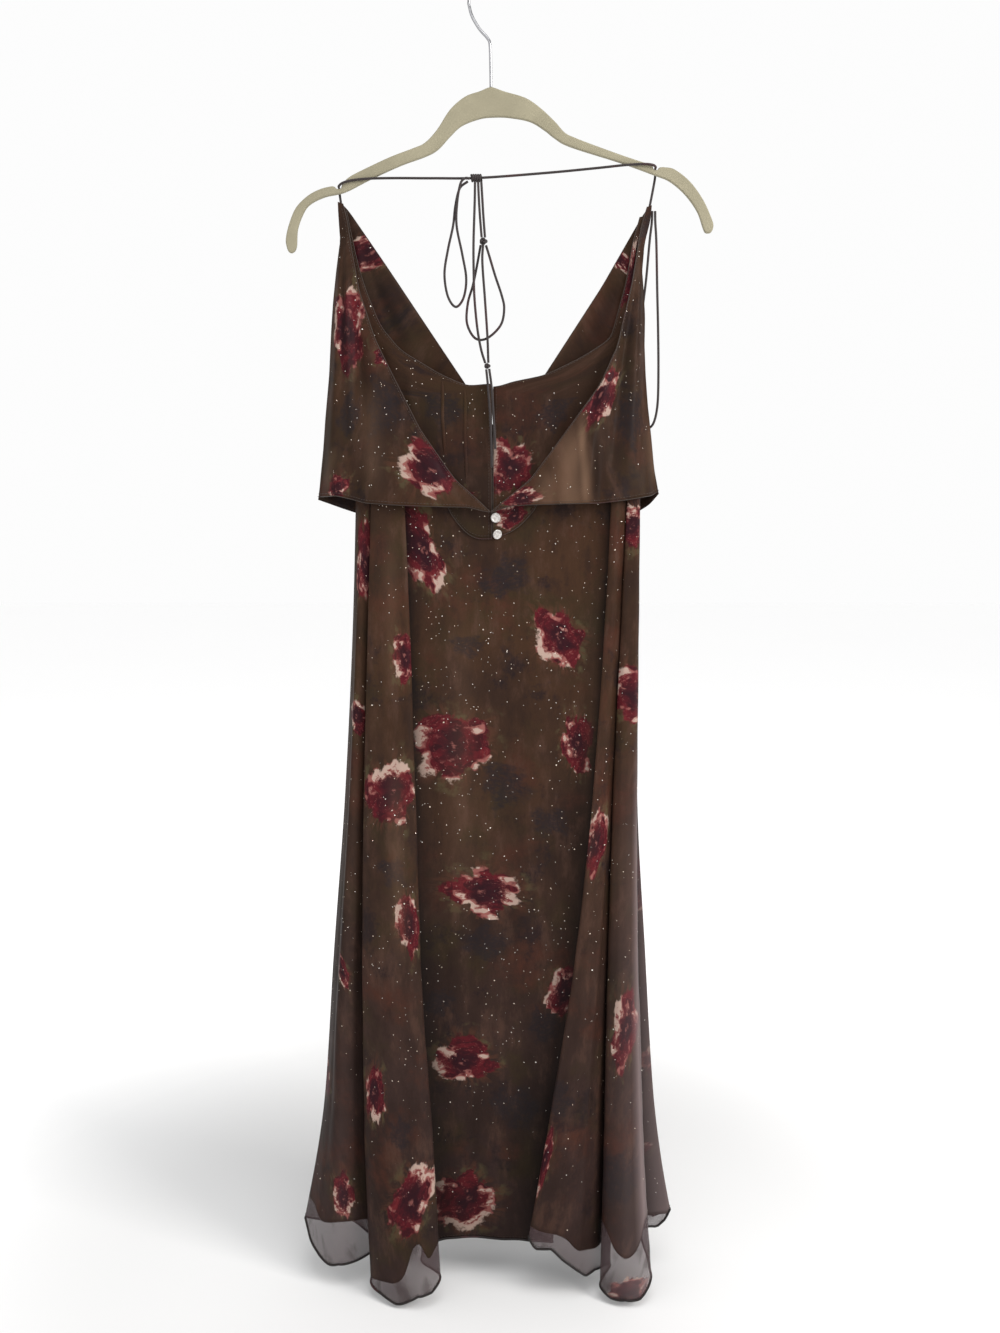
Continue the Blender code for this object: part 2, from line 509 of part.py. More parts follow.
def knot(name, centre, half):
    around, tall = 10, 7
    verts = [Vector((centre[0], centre[1], centre[2] + half[2]))]
    for r in range(1, tall - 1):
        up = math.pi * r / (tall - 1)
        for s in range(around):
            turn = 2 * math.pi * s / around
            verts.append(Vector((centre[0] + half[0] * math.sin(up) * math.cos(turn),
                                 centre[1] + half[1] * math.sin(up) * math.sin(turn),
                                 centre[2] + half[2] * math.cos(up))))
    verts.append(Vector((centre[0], centre[1], centre[2] - half[2])))
    faces = [(0, 1 + (s + 1) % around, 1 + s) for s in range(around)]
    for r in range(tall - 3):
        for s in range(around):
            a = 1 + r * around + s
            b = 1 + r * around + (s + 1) % around
            faces.append((a, b, b + around, a + around))
    bottom = len(verts) - 1
    first = bottom - around
    faces += [(bottom, first + s, first + (s + 1) % around) for s in range(around)]
    return add_mesh(name, verts, faces)


def string_turn():
    # A ring round the halter string, its hole along X.
    sides = 16
    centre = Vector(TURN_CENTRE)
    profile = ((-TURN_LENGTH / 2, TURN_INNER_RADIUS), (-TURN_LENGTH / 2, TURN_OUTER_RADIUS - 1.2),
               (-TURN_LENGTH / 2 + 1.2, TURN_OUTER_RADIUS), (TURN_LENGTH / 2 - 1.2, TURN_OUTER_RADIUS),
               (TURN_LENGTH / 2, TURN_OUTER_RADIUS - 1.2), (TURN_LENGTH / 2, TURN_INNER_RADIUS))
    verts, faces = [], []
    for x, radius in profile:
        for s in range(sides):
            turn = 2 * math.pi * s / sides
            verts.append(centre + Vector((x, radius * math.cos(turn), radius * math.sin(turn))))
    rings = len(profile)
    for r in range(rings):
        for s in range(sides):
            a = r * sides + s
            b = r * sides + (s + 1) % sides
            after = ((r + 1) % rings - r) * sides
            faces.append((a, b, b + after, a + after))
    return add_mesh("string_turn", verts, faces)


def button(name, x, z):
    # Round button lying on the flaps, with a rim and a dished middle.
    sides = 20
    back = FLAP_Y - CLOTH / 2 - 0.4
    front = back - BUTTON_THICK
    profile = ((0.45, back), (0.92, back), (1.0, back - 0.6), (1.0, front + 0.5), (0.88, front), (0.66, front), (0.55, front + 0.7))
    verts, faces = [], []
    for share, y in profile:
        for s in range(sides):
            turn = 2 * math.pi * s / sides
            verts.append(Vector((x + BUTTON_RADIUS * share * math.cos(turn), y, z + BUTTON_RADIUS * share * math.sin(turn))))
    for r in range(len(profile) - 1):
        for s in range(sides):
            a = r * sides + s
            b = r * sides + (s + 1) % sides
            faces.append((a, b, b + sides, a + sides))
    faces.append(tuple(range(sides)))
    faces.append(tuple((len(profile) - 1) * sides + s for s in range(sides)))
    return add_mesh(name, verts, faces)


def build():
    start_clean()
    hanger_body()
    hanger_hook()

    cloth("skirt_back", skirt_grid(SKIRT_BACK, 16, 2), CLOTH)
    cloth("skirt_front", skirt_grid(SKIRT_FRONT, 14, 3), CLOTH)
    cloth("skirt_lining", lining_grid(10, 16), LINING_CLOTH, closed=True)

    sides = (BODICE_SIDE_LEFT, BODICE_SIDE_RIGHT)
    waist_left, waist_right = BODICE_SIDE_LEFT[-1], BODICE_SIDE_RIGHT[-1]
    front = patch(FRONT_NECK, (waist_left, waist_right), BODICE_SIDE_LEFT, BODICE_SIDE_RIGHT, 27, 10)
    cloth("bodice_front", shaped(front, BODICE_FRONT_Y, sides), CLOTH)
    back_pieces = (("bodice_back_left", BACK_TIP_LEFT, BODICE_SIDE_LEFT, BACK_NECK_LEFT, BACK_LOW_LEFT),
                   ("bodice_back_right", BACK_TIP_RIGHT, BODICE_SIDE_RIGHT, BACK_NECK_RIGHT, BACK_LOW_RIGHT))
    for name, tip, side, neck, low in back_pieces:
        slit = (neck[-1], low[-1])
        edge = ((tip[0],) + side[1:-1] + ((side[-2][0], -448),), ((side[-2][0], -448), side[-1]))
        grid = patch(tip, low, edge, (neck, slit), 14, 15, corner=10, pull=3)
        cloth(name, shaped(grid, BODICE_BACK_Y, sides), CLOTH)

    flounce_pieces = (("flounce_back_left", FLOUNCE_OUT_LEFT, FLOUNCE_IN_LEFT, FLOUNCE_HEM_LEFT),
                      ("flounce_back_right", FLOUNCE_OUT_RIGHT, FLOUNCE_IN_RIGHT, FLOUNCE_HEM_RIGHT))
    for name, outer, inner, hem in flounce_pieces:
        grid = patch((outer[0], inner[0]), hem, outer, inner, 15, 14)
        cloth(name, waved(grid, FLOUNCE_BACK_WAVES, -1), FLOUNCE_CLOTH)
    front = patch(FLOUNCE_FRONT_NECK, FLOUNCE_FRONT_HEM, FLOUNCE_FRONT_LEFT, FLOUNCE_FRONT_RIGHT, 29, 9)
    cloth("flounce_front", waved(front, FLOUNCE_FRONT_WAVES, 1), FLOUNCE_CLOTH)

    for name, x, z in BUTTONS:
        button(name, x, z)

    for name, route, count in STRINGS:
        string(name, route, count)
    for name, x, y, z, a, b, c in KNOTS:
        knot(name, (x, y, z), (a, b, c))
    string_turn()


build()
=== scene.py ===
# %% [markdown]
# # A maxi dress on a hanger
# The dress hangs from the notches of a slim hanger by a thin string, and we look at its back.
# Cloth, string, hanger and buttons were first built as plain solids, and this notebook dresses
# them: thin cloth with creases, a rose print, glitter, stitches, a sheer hem, velvet and wire.
# Every length in the tables is in millimetres. X runs to the right as the back is seen, the back
# faces -Y, and the origin is the top of the inside of the hook.

import math
import random

import bmesh
import bpy
import numpy as np
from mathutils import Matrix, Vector


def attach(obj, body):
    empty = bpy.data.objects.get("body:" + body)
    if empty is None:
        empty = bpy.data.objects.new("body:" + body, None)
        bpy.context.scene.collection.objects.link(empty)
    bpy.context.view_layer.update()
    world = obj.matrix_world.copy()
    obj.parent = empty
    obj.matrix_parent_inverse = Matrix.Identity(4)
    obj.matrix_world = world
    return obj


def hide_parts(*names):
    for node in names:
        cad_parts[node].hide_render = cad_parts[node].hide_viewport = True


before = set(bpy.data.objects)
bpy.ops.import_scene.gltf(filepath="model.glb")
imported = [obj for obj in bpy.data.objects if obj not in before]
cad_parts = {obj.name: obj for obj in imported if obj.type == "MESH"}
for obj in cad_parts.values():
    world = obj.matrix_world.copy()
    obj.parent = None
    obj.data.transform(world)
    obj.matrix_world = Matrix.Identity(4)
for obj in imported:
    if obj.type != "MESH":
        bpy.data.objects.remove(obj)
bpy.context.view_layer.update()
MM = 0.001

# %% [markdown]
# ## Camera
# The photo was taken from about 1.36 m behind the dress, at the height of its waist, with the lens
# tilted down by six degrees. A focal length of 1250 pixels on a frame 1333 pixels tall is 33.8 mm
# on a 36 mm sensor, the natural setting in Blender.

# %% Camera
PHOTO_HEIGHT_PIXELS = 1333
FOCAL_PIXELS = 1250
CAMERA_PLACE = (0.0093, -1.3594, -0.5688)
CAMERA_TILT_DOWN = 6.0

camera_data = bpy.data.cameras.new("photo_camera")
camera_data.sensor_width = 36.0
camera_data.lens = FOCAL_PIXELS / PHOTO_HEIGHT_PIXELS * camera_data.sensor_width
camera = bpy.data.objects.new("photo_camera", camera_data)
camera.location = CAMERA_PLACE
camera.rotation_euler = (math.radians(90.0 - CAMERA_TILT_DOWN), 0.0, 0.0)
bpy.context.scene.collection.objects.link(camera)
bpy.context.scene.camera = camera

# %% [markdown]
# ## Reading curves from short tables
# A cord or a cut edge is given by a few listed points. A Catmull-Rom curve runs through such
# points, and a monotone cubic reads a table without overshooting its rows. NumPy does both for
# whole rows of points at once, which keeps fine meshes quick.


# %% Curve and table helpers
def mix(a, b, share):
    return a + (b - a) * share


def add_piece(name, data, material=None):
    # Puts a mesh or a curve into the scene; a mesh given a material is shaded smooth.
    piece = bpy.data.objects.new(name, data)
    bpy.context.scene.collection.objects.link(piece)
    if material:
        data.materials.append(material)
        data.polygons.foreach_set("use_smooth", np.ones(len(data.polygons), dtype=bool))
    return piece


def stretches(points):
    # For each stretch between two points: the point before it, its two ends and the point after it.
    ends = np.concatenate([[2 * points[0] - points[1]], points, [2 * points[-1] - points[-2]]])
    return zip(ends, ends[1:], ends[2:], ends[3:])


def catmull(before, start, stop, after, t):
    return 0.5 * (2 * start + (stop - before) * t + (2 * before - 5 * start + 4 * stop - after) * t ** 2
                  + (3 * start - before - 3 * stop + after) * t ** 3)


def curve_through(points, steps):
    # Catmull-Rom curve: steps points for each stretch between two of the given points.
    points = np.array(points, float)
    line = [catmull(*four, t) for four in stretches(points) for t in np.arange(steps) / steps]
    return np.array(line + [points[-1]])


def bevelled_curve(name, points, radius, resolution):
    # A curve with a round bevel through points in metres, closed at both ends.
    curve = bpy.data.curves.new(name, "CURVE")
    curve.dimensions = "3D"
    curve.bevel_depth = radius
    curve.bevel_resolution = resolution
    curve.use_fill_caps = True
    spline = curve.splines.new("POLY")
    spline.points.add(len(points) - 1)
    spline.points.foreach_set("co", np.column_stack([points, np.ones(len(points))]).ravel())
    return curve


def plain_mesh_of(source):
    # What a curve or a node tree makes, as a plain mesh; the source is removed.
    bpy.context.view_layer.update()
    evaluated = source.evaluated_get(bpy.context.evaluated_depsgraph_get())
    mesh = bpy.data.meshes.new_from_object(evaluated)
    bpy.data.objects.remove(source)
    return mesh


def spread(line, count, bend_share=0.0):
    # The same line with count points, evenly apart, or closer together where it bends.
    line = np.array(line, float)
    steps = np.diff(line, axis=0)
    lengths = np.linalg.norm(steps, axis=1)
    if bend_share:
        along = steps / np.maximum(lengths, 1e-9)[:, None]
        turns = np.arccos(np.clip((along[:-1] * along[1:]).sum(axis=1), -1.0, 1.0))
        lengths = lengths + bend_share * np.append(turns, 0.0)
    where = np.concatenate([[0.0], np.cumsum(lengths)])
    at = np.linspace(0.0, where[-1], count)
    return np.stack([np.interp(at, where, line[:, k]) for k in range(line.shape[1])], axis=1)


def length_of(line):
    return float(np.linalg.norm(np.diff(line, axis=0), axis=1).sum())


def read(table, at, column=1):
    # Straight-line reading of a table whose first column rises or falls.
    rows = sorted(table)
    return np.interp(at, [row[0] for row in rows], [row[column] for row in rows])


def read_smooth(xs, ys, at):
    # Monotone cubic reading.
    xs, ys = np.array(xs, float), np.array(ys, float)
    steps = np.diff(ys) / np.diff(xs)
    slopes = np.zeros(len(xs))
    slopes[0], slopes[-1] = steps[0], steps[-1]
    product = steps[:-1] * steps[1:]
    total = np.where(np.abs(steps[:-1] + steps[1:]) < 1e-12, 1.0, steps[:-1] + steps[1:])
    slopes[1:-1] = np.where(product > 0, 2 * product / total, 0.0)
    k = np.clip(np.searchsorted(xs, at) - 1, 0, len(xs) - 2)
    span = xs[k + 1] - xs[k]
    t = np.clip((at - xs[k]) / span, 0.0, 1.0)
    start = (1 + 2 * t) * (1 - t) ** 2 * ys[k] + t * (1 - t) ** 2 * span * slopes[k]
    return start + t * t * (3 - 2 * t) * ys[k + 1] + t * t * (t - 1) * span * slopes[k + 1]


# %% [markdown]
# ## String
# The straps end in a narrow tube of the dress's own cloth, 2.6 mm thick. It runs from the left
# strap point through the hanger's left notch, across to the right notch and down to the right
# strap point. A bow is tied on it, with two loops, two long ends that meet in a knot, and two
# short tails. A free loop hangs at the right. Each one is a curve with a round bevel, which is
# how a limp cord keeps one thickness along its whole route.

# %% String routes
STRING_DIAMETER = 2.6
HALTER_STRING = (
    (-158.6, 4.6, -220.2), (-159.6, 4.8, -213.5), (-160.1, 4.7, -208.8), (-160.2, 3.2, -205.6),
    (-160.1, 0, -205), (-159.6, -3, -204.6), (-155.5, -4.7, -202), (-146, -4.7, -199.4),
    (-128, -4.5, -197.6), (-100, -2, -196.4), (-60, 0, -196), (-12, 0, -195.6), (60, 0, -190.4),
    (110, -1.6, -186.2), (140, -4.4, -183.9), (160, -4.7, -182.9), (169, -4.6, -183.8),
    (172.2, -3.2, -185.3), (172.4, 0, -185.8), (172.6, 3.2, -186.3), (172.9, 4.6, -189),
    (172.6, 4.8, -195), (170.4, 4.8, -208), (167.4, 4.6, -223.6))
BOW_LEFT = (
    (-22.7, -3.6, -197.4), (-27, -5.4, -197.4), (-32, -6.2, -203), (-35.5, -6.4, -222),
    (-36.2, -6.4, -246), (-30.4, -6.4, -275), (-26.3, -6.6, -300), (-29.3, -6.6, -320),
    (-37.5, -6.4, -329), (-45.8, -6.2, -318), (-49.2, -6.2, -295), (-45.4, -6, -270), (-40, -5.6, -246),
    (-37.6, -3, -225), (-33, -2.4, -207), (-24.4, -2.2, -199.8))
BOW_RIGHT = (
    (-5.4, -7, -266.1), (-1.6, -6.8, -278), (4.2, -6.8, -297), (11, -7, -317), (13.7, -7, -331),
    (10, -7, -348), (-4.3, -7, -361.5), (-17, -7, -361.5), (-25.6, -6.8, -346), (-24.6, -6.6, -325),
    (-19.6, -6.4, -308), (-15.6, -6.4, -290), (-11, -7, -265.8))
BAND_1 = ((-13.6, -2.2, -200.65), (-13, -4.6, -215), (-11.8, -6.2, -235), (-10, -7.2, -257.8))
BAND_2 = ((-10.3, -2.2, -200.65), (-9.4, -4.4, -215), (-8.2, -6, -235), (-6.5, -7, -257.8))
TIE_END_1 = (
    (-16.9, -2.2, -200.65), (-17.2, -6.4, -222), (-18.4, -10.2, -262), (-18.4, -10.4, -290),
    (-17.6, -10.8, -320), (-14.6, -11.2, -352), (-10.6, -11.6, -374), (-6.3, -12, -388))
TIE_END_2 = (
    (-8.4, -9.6, -265.5), (-9.2, -10.4, -284), (-6.4, -10.8, -324), (-4, -11.4, -360), (-3, -12, -387.6))
TIE_TAIL_1 = ((-5.2, -12.2, -394.6), (-3.2, -12.6, -415), (-0.6, -13.4, -452), (0.6, -15.2, -497))
TIE_TAIL_2 = ((-2.1, -12.2, -394), (0.6, -12.6, -415), (3, -13.6, -452), (4.4, -14.8, -478))
SIDE_LOOP = (
    (170.1, 4, -228.6), (169.7, 3.2, -240), (167.5, 2.2, -260), (164.6, 3.2, -297), (162.2, 6.8, -322),
    (160.6, 9.5, -345), (159.8, 11, -375), (159.6, 13, -410), (160.4, 14, -438), (164, 12, -452),
    (170, 7, -454), (175, 3, -447), (178.1, 1.2, -428), (178.4, 0.4, -394), (177.4, 0.2, -350),
    (176, 0.4, -310), (174.6, 1.4, -262), (173.4, 3.2, -240), (173.2, 4, -228.6))
# node, route, points on the curve, what its far end is, how it lies
STRINGS = (
    ("halter_string", HALTER_STRING, 160, "object", "taut"),
    ("bow_loop_left", BOW_LEFT, 110, "object", "hanging"),
    ("bow_loop_right", BOW_RIGHT, 100, "object", "hanging"),
    ("bow_band_1", BAND_1, 24, "knot", "hanging"),
    ("bow_band_2", BAND_2, 24, "knot", "hanging"),
    ("tie_end_1", TIE_END_1, 60, "knot", "hanging"),
    ("tie_end_2", TIE_END_2, 50, "knot", "hanging"),
    ("tie_tail_1", TIE_TAIL_1, 40, "bare", "hanging"),
    ("tie_tail_2", TIE_TAIL_2, 36, "bare", "hanging"),
    ("side_loop", SIDE_LOOP, 120, "object", "hanging"),
)

# %% String curves
cords = {}
for node, route, count, far_end, lay in STRINGS:
    points = spread(curve_through(route, 16), count, bend_share=14.0) * MM
    piece = add_piece(node + "_cord", bevelled_curve(node + "_cord", points, STRING_DIAMETER * MM / 2, 4))
    cords[node] = (piece, points, far_end, lay)
    print(node, "is", round(length_of(points) * 1000), "mm long")

# %% [markdown]
# ## Materials: a short way to write node trees
# Each finish is a tree of shader nodes built in code. A small class adds a node, fills its inputs
# with numbers or other nodes' outputs, and gives its output back, so a finish reads like a formula.


# %% Node helper
class Shader:
    def __init__(self, tree, material=None):
        self.tree = tree
        self.material = material

    def add(self, kind, *values, out=0, **settings):
        node = self.tree.nodes.new(kind)
        for name, value in settings.items():
            setattr(node, name, value)
        for socket, value in zip([socket for socket in node.inputs if socket.enabled], values):
            self.fill(socket, value)
        return [socket for socket in node.outputs if socket.enabled][out]

    def fill(self, socket, value):
        if isinstance(value, bpy.types.NodeSocket):
            self.tree.links.new(value, socket)
        elif value is not None:
            socket.default_value = value

    def named(self, kind, setting=None, choice=None, **inputs):
        # A node with its inputs filled by name, given back whole.
        node = self.tree.nodes.new(kind)
        if setting:
            setattr(node, setting, choice)
        for name, value in inputs.items():
            self.fill(node.inputs[name.replace("_", " ")], value)
        return node

    def plug(self, **values):
        # Fills the Principled shader by name and gives the material back.
        for name, value in values.items():
            self.fill(self.tree.nodes["Principled BSDF"].inputs[name.replace("_", " ")], value)
        return self.material

    def uv(self, name):
        return self.add("ShaderNodeUVMap", uv_map=name)

    def place(self):
        return self.add("ShaderNodeTexCoord", out=3)

    def part(self, vector, axis=0):
        return self.add("ShaderNodeSeparateXYZ", vector, out=axis)

    def joined(self, *parts):
        return self.add("ShaderNodeCombineXYZ", *parts)

    def math(self, operation, *values):
        return self.add("ShaderNodeMath", *values, operation=operation)

    def times(self, a, b):
        return self.math("MULTIPLY", a, b)

    def plus(self, a, b):
        return self.math("ADD", a, b)

    def minus(self, a, b):
        return self.math("SUBTRACT", a, b)

    def vector(self, operation, *values):
        return self.add("ShaderNodeVectorMath", *values, operation=operation)

    def blend(self, share, first, second):
        first, second = (c if isinstance(c, bpy.types.NodeSocket) else (*c, 1.0) for c in (first, second))
        return self.add("ShaderNodeMix", share, first, second, data_type="RGBA")

    def step(self, value, low, high):
        # 0 below low, 1 above high, smooth between; low above high turns it round.
        turned = low > high
        ends = (high, low, 1.0, 0.0) if turned else (low, high, 0.0, 1.0)
        return self.add("ShaderNodeMapRange", value, *ends, interpolation_type="SMOOTHSTEP")

    def scaled(self, place, x, y, z=1.0):
        return self.vector("MULTIPLY", place, (x, y, z))

    def noise(self, place, scale, detail=2.0, rough=0.5):
        return self.add("ShaderNodeTexNoise", place, scale, detail, rough)

    def noise_vector(self, place, scale, detail=2.0):
        colour = self.add("ShaderNodeTexNoise", place, scale, detail, out=1)
        return self.vector("SUBTRACT", colour, (0.5, 0.5, 0.5))

    def bump(self, height, strength, distance, under=None):
        return self.add("ShaderNodeBump", strength, distance, 1.0, height, under)


def make_finish(name, **constants):
    # A material with one Principled shader; constants are set on its sockets directly.
    material = bpy.data.materials.new(name)
    material.use_nodes = True
    n = Shader(material.node_tree, material)
    n.plug(**constants)
    return n


# %% [markdown]
# ## Materials: the printed satin chiffon
# The real cloth is a dark brown satin chiffon with a blurred print: crimson roses with cream and
# pink petal tips, olive leaves, dark shadow flowers, and a scatter of glitter dots. The print
# lives in the cloth's own coordinates, so it bends with every fold. Each face of the mesh carries
# the place and size of its nearest rose in a second UV map, and this group paints one rose
# from that. The roses are ordinary ones of our own drawing: noise bends the petals, a swirl of
# cells makes their rows, and one side of each has paler tips.

# %% Rose print
HEART = (0.0155, 0.005, 0.0075)
WINE = (0.03, 0.0055, 0.0075)
CRIMSON = (0.072, 0.0075, 0.011)
SCARLET = (0.115, 0.015, 0.017)
PETAL_PINK = (0.25, 0.09, 0.078)
CREAM = (0.35, 0.26, 0.215)
OLIVE = (0.062, 0.05, 0.025)
DRY_BRUSH = (0.062, 0.025, 0.015)
SHADOW_FLOWER = (0.0135, 0.0105, 0.012)
SHADOW_TAG = 50.0


def rose_group():
    # Outputs: colour of the rose, its mask, the leaf mask, the mask of a shadow flower, dry brush.
    group = bpy.data.node_groups.new("rose_print", "ShaderNodeTree")
    for name in ("Rose", "Rose mask", "Leaf mask", "Shadow mask", "Brush mask"):
        kind = "NodeSocketColor" if name == "Rose" else "NodeSocketFloat"
        group.interface.new_socket(name, in_out="OUTPUT", socket_type=kind)
    n = Shader(group)
    place = n.uv("rose")
    tag = n.uv("tag")
    number = n.part(tag)
    pale_side = n.part(tag, 1)
    is_shadow = n.math("GREATER_THAN", number, SHADOW_TAG / 2)
    shift = n.joined(n.times(number, 3.7), n.times(number, 1.3))
    from_seed = n.vector("ADD", place, shift)

    # the outline: an uneven round, cut up by short strokes that point outward
    bent = n.vector("ADD", place, n.scaled(n.noise_vector(from_seed, 1.3, 2.0), 0.60, 0.60, 0.0))
    far = n.vector("LENGTH", bent)
    round_it = n.vector("NORMALIZE", bent)
    off_round = n.vector("ADD", round_it, shift)
    lobes = n.minus(n.noise(off_round, 1.15, 1.0), 0.5)
    rays = n.noise(n.vector("ADD", n.scaled(off_round, 4.5, 4.5), n.joined(0.0, 0.0, far)), 1.6, 3.0, 0.6)
    ragged = n.minus(n.noise(from_seed, 7.0, 4.0, 0.65), 0.5)
    edge = n.plus(n.times(lobes, 1.00), n.times(ragged, 0.36))
    edge = n.plus(edge, n.times(n.minus(rays, 0.5), 0.12))
    inside = n.minus(n.plus(edge, 0.80), far)
    rose_mask = n.step(inside, -0.04, 0.06)

    # petals: arcs round the heart, brushed
    depth = n.joined(0.0, 0.0, n.times(far, 4.6))
    arcs = n.noise(n.vector("ADD", n.scaled(off_round, 0.9, 0.9), depth), 1.5, 3.0, 0.6)
    cells = n.vector("ADD", n.scaled(off_round, 1.1, 1.1), n.scaled(depth, 1.0, 1.0, 0.55))
    petal = n.part(n.add("ShaderNodeTexVoronoi", cells, 1.7, out=1))
    strokes = n.noise(n.scaled(from_seed, 1.0, 1.6), 5.5, 4.0, 0.65)
    tone = n.plus(n.times(arcs, 0.55), n.times(petal, 0.14))
    tone = n.plus(tone, n.times(strokes, 0.31))
    colour = n.blend(n.step(tone, 0.36, 0.58), WINE, CRIMSON)
    colour = n.blend(n.times(n.step(tone, 0.55, 0.70), 0.75), colour, SCARLET)
    colour = n.blend(n.times(n.step(n.plus(far, n.times(lobes, 0.5)), 0.56, 0.20), 0.85), colour, HEART)
    eye = n.times(n.step(far, 0.15, 0.05), n.step(strokes, 0.46, 0.60))
    colour = n.blend(n.times(eye, 0.55), colour, PETAL_PINK)
    line = n.step(n.math("ABSOLUTE", n.minus(arcs, 0.53)), 0.016, 0.004)
    line = n.times(line, n.step(strokes, 0.50, 0.60))
    colour = n.blend(n.times(n.times(line, n.step(far, 0.22, 0.34)), 0.55), colour, PETAL_PINK)
    fleck = n.times(n.step(n.noise(n.scaled(from_seed, 1.0, 2.2), 9.0, 3.0, 0.6), 0.645, 0.70), 0.5)
    colour = n.blend(n.times(fleck, n.step(far, 0.25, 0.5)), colour, PETAL_PINK)

    # pale petal tips: blots along the border, most of them toward one side, brushed inward
    toward = n.joined(n.math("COSINE", pale_side), n.math("SINE", pale_side))
    facing = n.times(n.vector("DOT_PRODUCT", bent, toward), 0.120)
    blots = n.noise(n.vector("ADD", n.scaled(from_seed, 1.0, 1.3), (7.3, 2.1, 0.0)), 1.7, 2.0)
    patch = n.plus(blots, facing)
    reach = n.plus(inside, n.times(n.minus(arcs, 0.5), 0.60))
    reach = n.plus(reach, n.times(n.minus(strokes, 0.5), 0.80))
    pink_mask = n.times(n.step(reach, 0.42, 0.20), n.step(patch, 0.505, 0.55))
    cream_mask = n.times(n.step(reach, 0.30, 0.16), n.step(patch, 0.565, 0.595))
    colour = n.blend(n.times(pink_mask, 0.75), colour, PETAL_PINK)
    colour = n.blend(n.times(cream_mask, 0.88), colour, CREAM)

    soft = n.noise(n.vector("ADD", from_seed, (4.4, 9.1, 0.0)), 1.9, 3.0, 0.6)
    leaf = n.times(n.step(inside, -0.52, -0.14), n.step(soft, 0.52, 0.64))
    brush = n.times(n.step(inside, -0.36, -0.02), n.step(rays, 0.44, 0.60))
    blot = n.plus(inside, n.times(n.minus(soft, 0.5), 1.3))
    blot = n.times(n.step(blot, -0.10, 0.34), n.step(strokes, 0.24, 0.56))

    not_shadow = n.minus(1.0, is_shadow)
    ends = group.nodes.new("NodeGroupOutput")
    masks = (n.times(rose_mask, not_shadow), n.times(leaf, not_shadow),
             n.times(blot, is_shadow), n.times(brush, not_shadow))
    for value, socket in zip((colour, *masks), ends.inputs):
        group.links.new(value, socket)
    return group


ROSE_GROUP = rose_group()

# %% [markdown]
# ## Materials: the ground of the cloth
# Under the roses the brown isn't even: it drifts to olive, rust and a dusty plum, as in a
# water-colour, and is streaked as by a dry brush. Toward the hem it turns darker and cooler, painted
# light for the duller, veiled light on the lower skirt. Glitter dots are the cores of random cells
# at two sizes, and raised flakes are laid over them later. A fine weave and a soft waviness go into
# the bump. Satin needs a middling roughness, a low specular level and a little sheen. A map made
# from the folds paints shade into the valleys, where so dark a cloth gives itself little light
# back, and paints a pale glow of light on the edges where the chiffon hangs clear of its lining.
# The same map carries painted highlights of the satin and more painted shade, laid on as strokes.

# %% Dress cloth
# GROUND_TOP and GROUND_LOW: the ground near the waist and near the hem; the change between them down the
# skirt is painted light, the duller, veiled light on the lower skirt.
GROUND_TOP = (0.038, 0.0184, 0.0098)
GROUND_LOW = (0.028, 0.0158, 0.0138)
GROUND_DARK = (0.0175, 0.0096, 0.0074)
GROUND_OLIVE = (0.027, 0.018, 0.0082)
GROUND_RUST = (0.05, 0.0175, 0.011)
GROUND_PLUM = (0.012, 0.008, 0.009)
GLITTER = (0.62, 0.55, 0.48)
BRUSH_LIGHT = (0.064, 0.033, 0.023)
CHIFFON_MAUVE = (0.085, 0.058, 0.061)
# Painted light: the pale glow of chiffon edges lit through one layer, and the satin's painted highlight.
CHIFFON_PAINTED_GLOW = (0.23, 0.176, 0.176)
PAINTED_SATIN_HIGHLIGHT = (0.17, 0.1, 0.064)
# place in the noise, its scale, detail and roughness, where it starts and ends, share, colour
GROUND_PATCHES = (
    ((3.1, 0, 0), 13, 4, 0.6, 0.48, 0.7, 0.75, GROUND_OLIVE),
    ((0, 5.7, 0), 10, 6, 0.68, 0.51, 0.7, 0.85, GROUND_RUST),
    ((9.2, 1.7, 0), 15, 7, 0.72, 0.54, 0.66, 0.75, GROUND_PLUM))
SHEER_WALL_ALPHA = 0.47


def glitter_dots(n, place, cell, radius, gate):
    # Round dots in a part of the cells of a Voronoi pattern.
    far = n.add("ShaderNodeTexVoronoi", place, 1000.0 / cell)
    chance = n.part(n.add("ShaderNodeTexVoronoi", place, 1000.0 / cell, out=1))
    dot = n.step(far, radius / cell, 0.6 * radius / cell)
    return n.times(dot, n.math("GREATER_THAN", chance, gate))


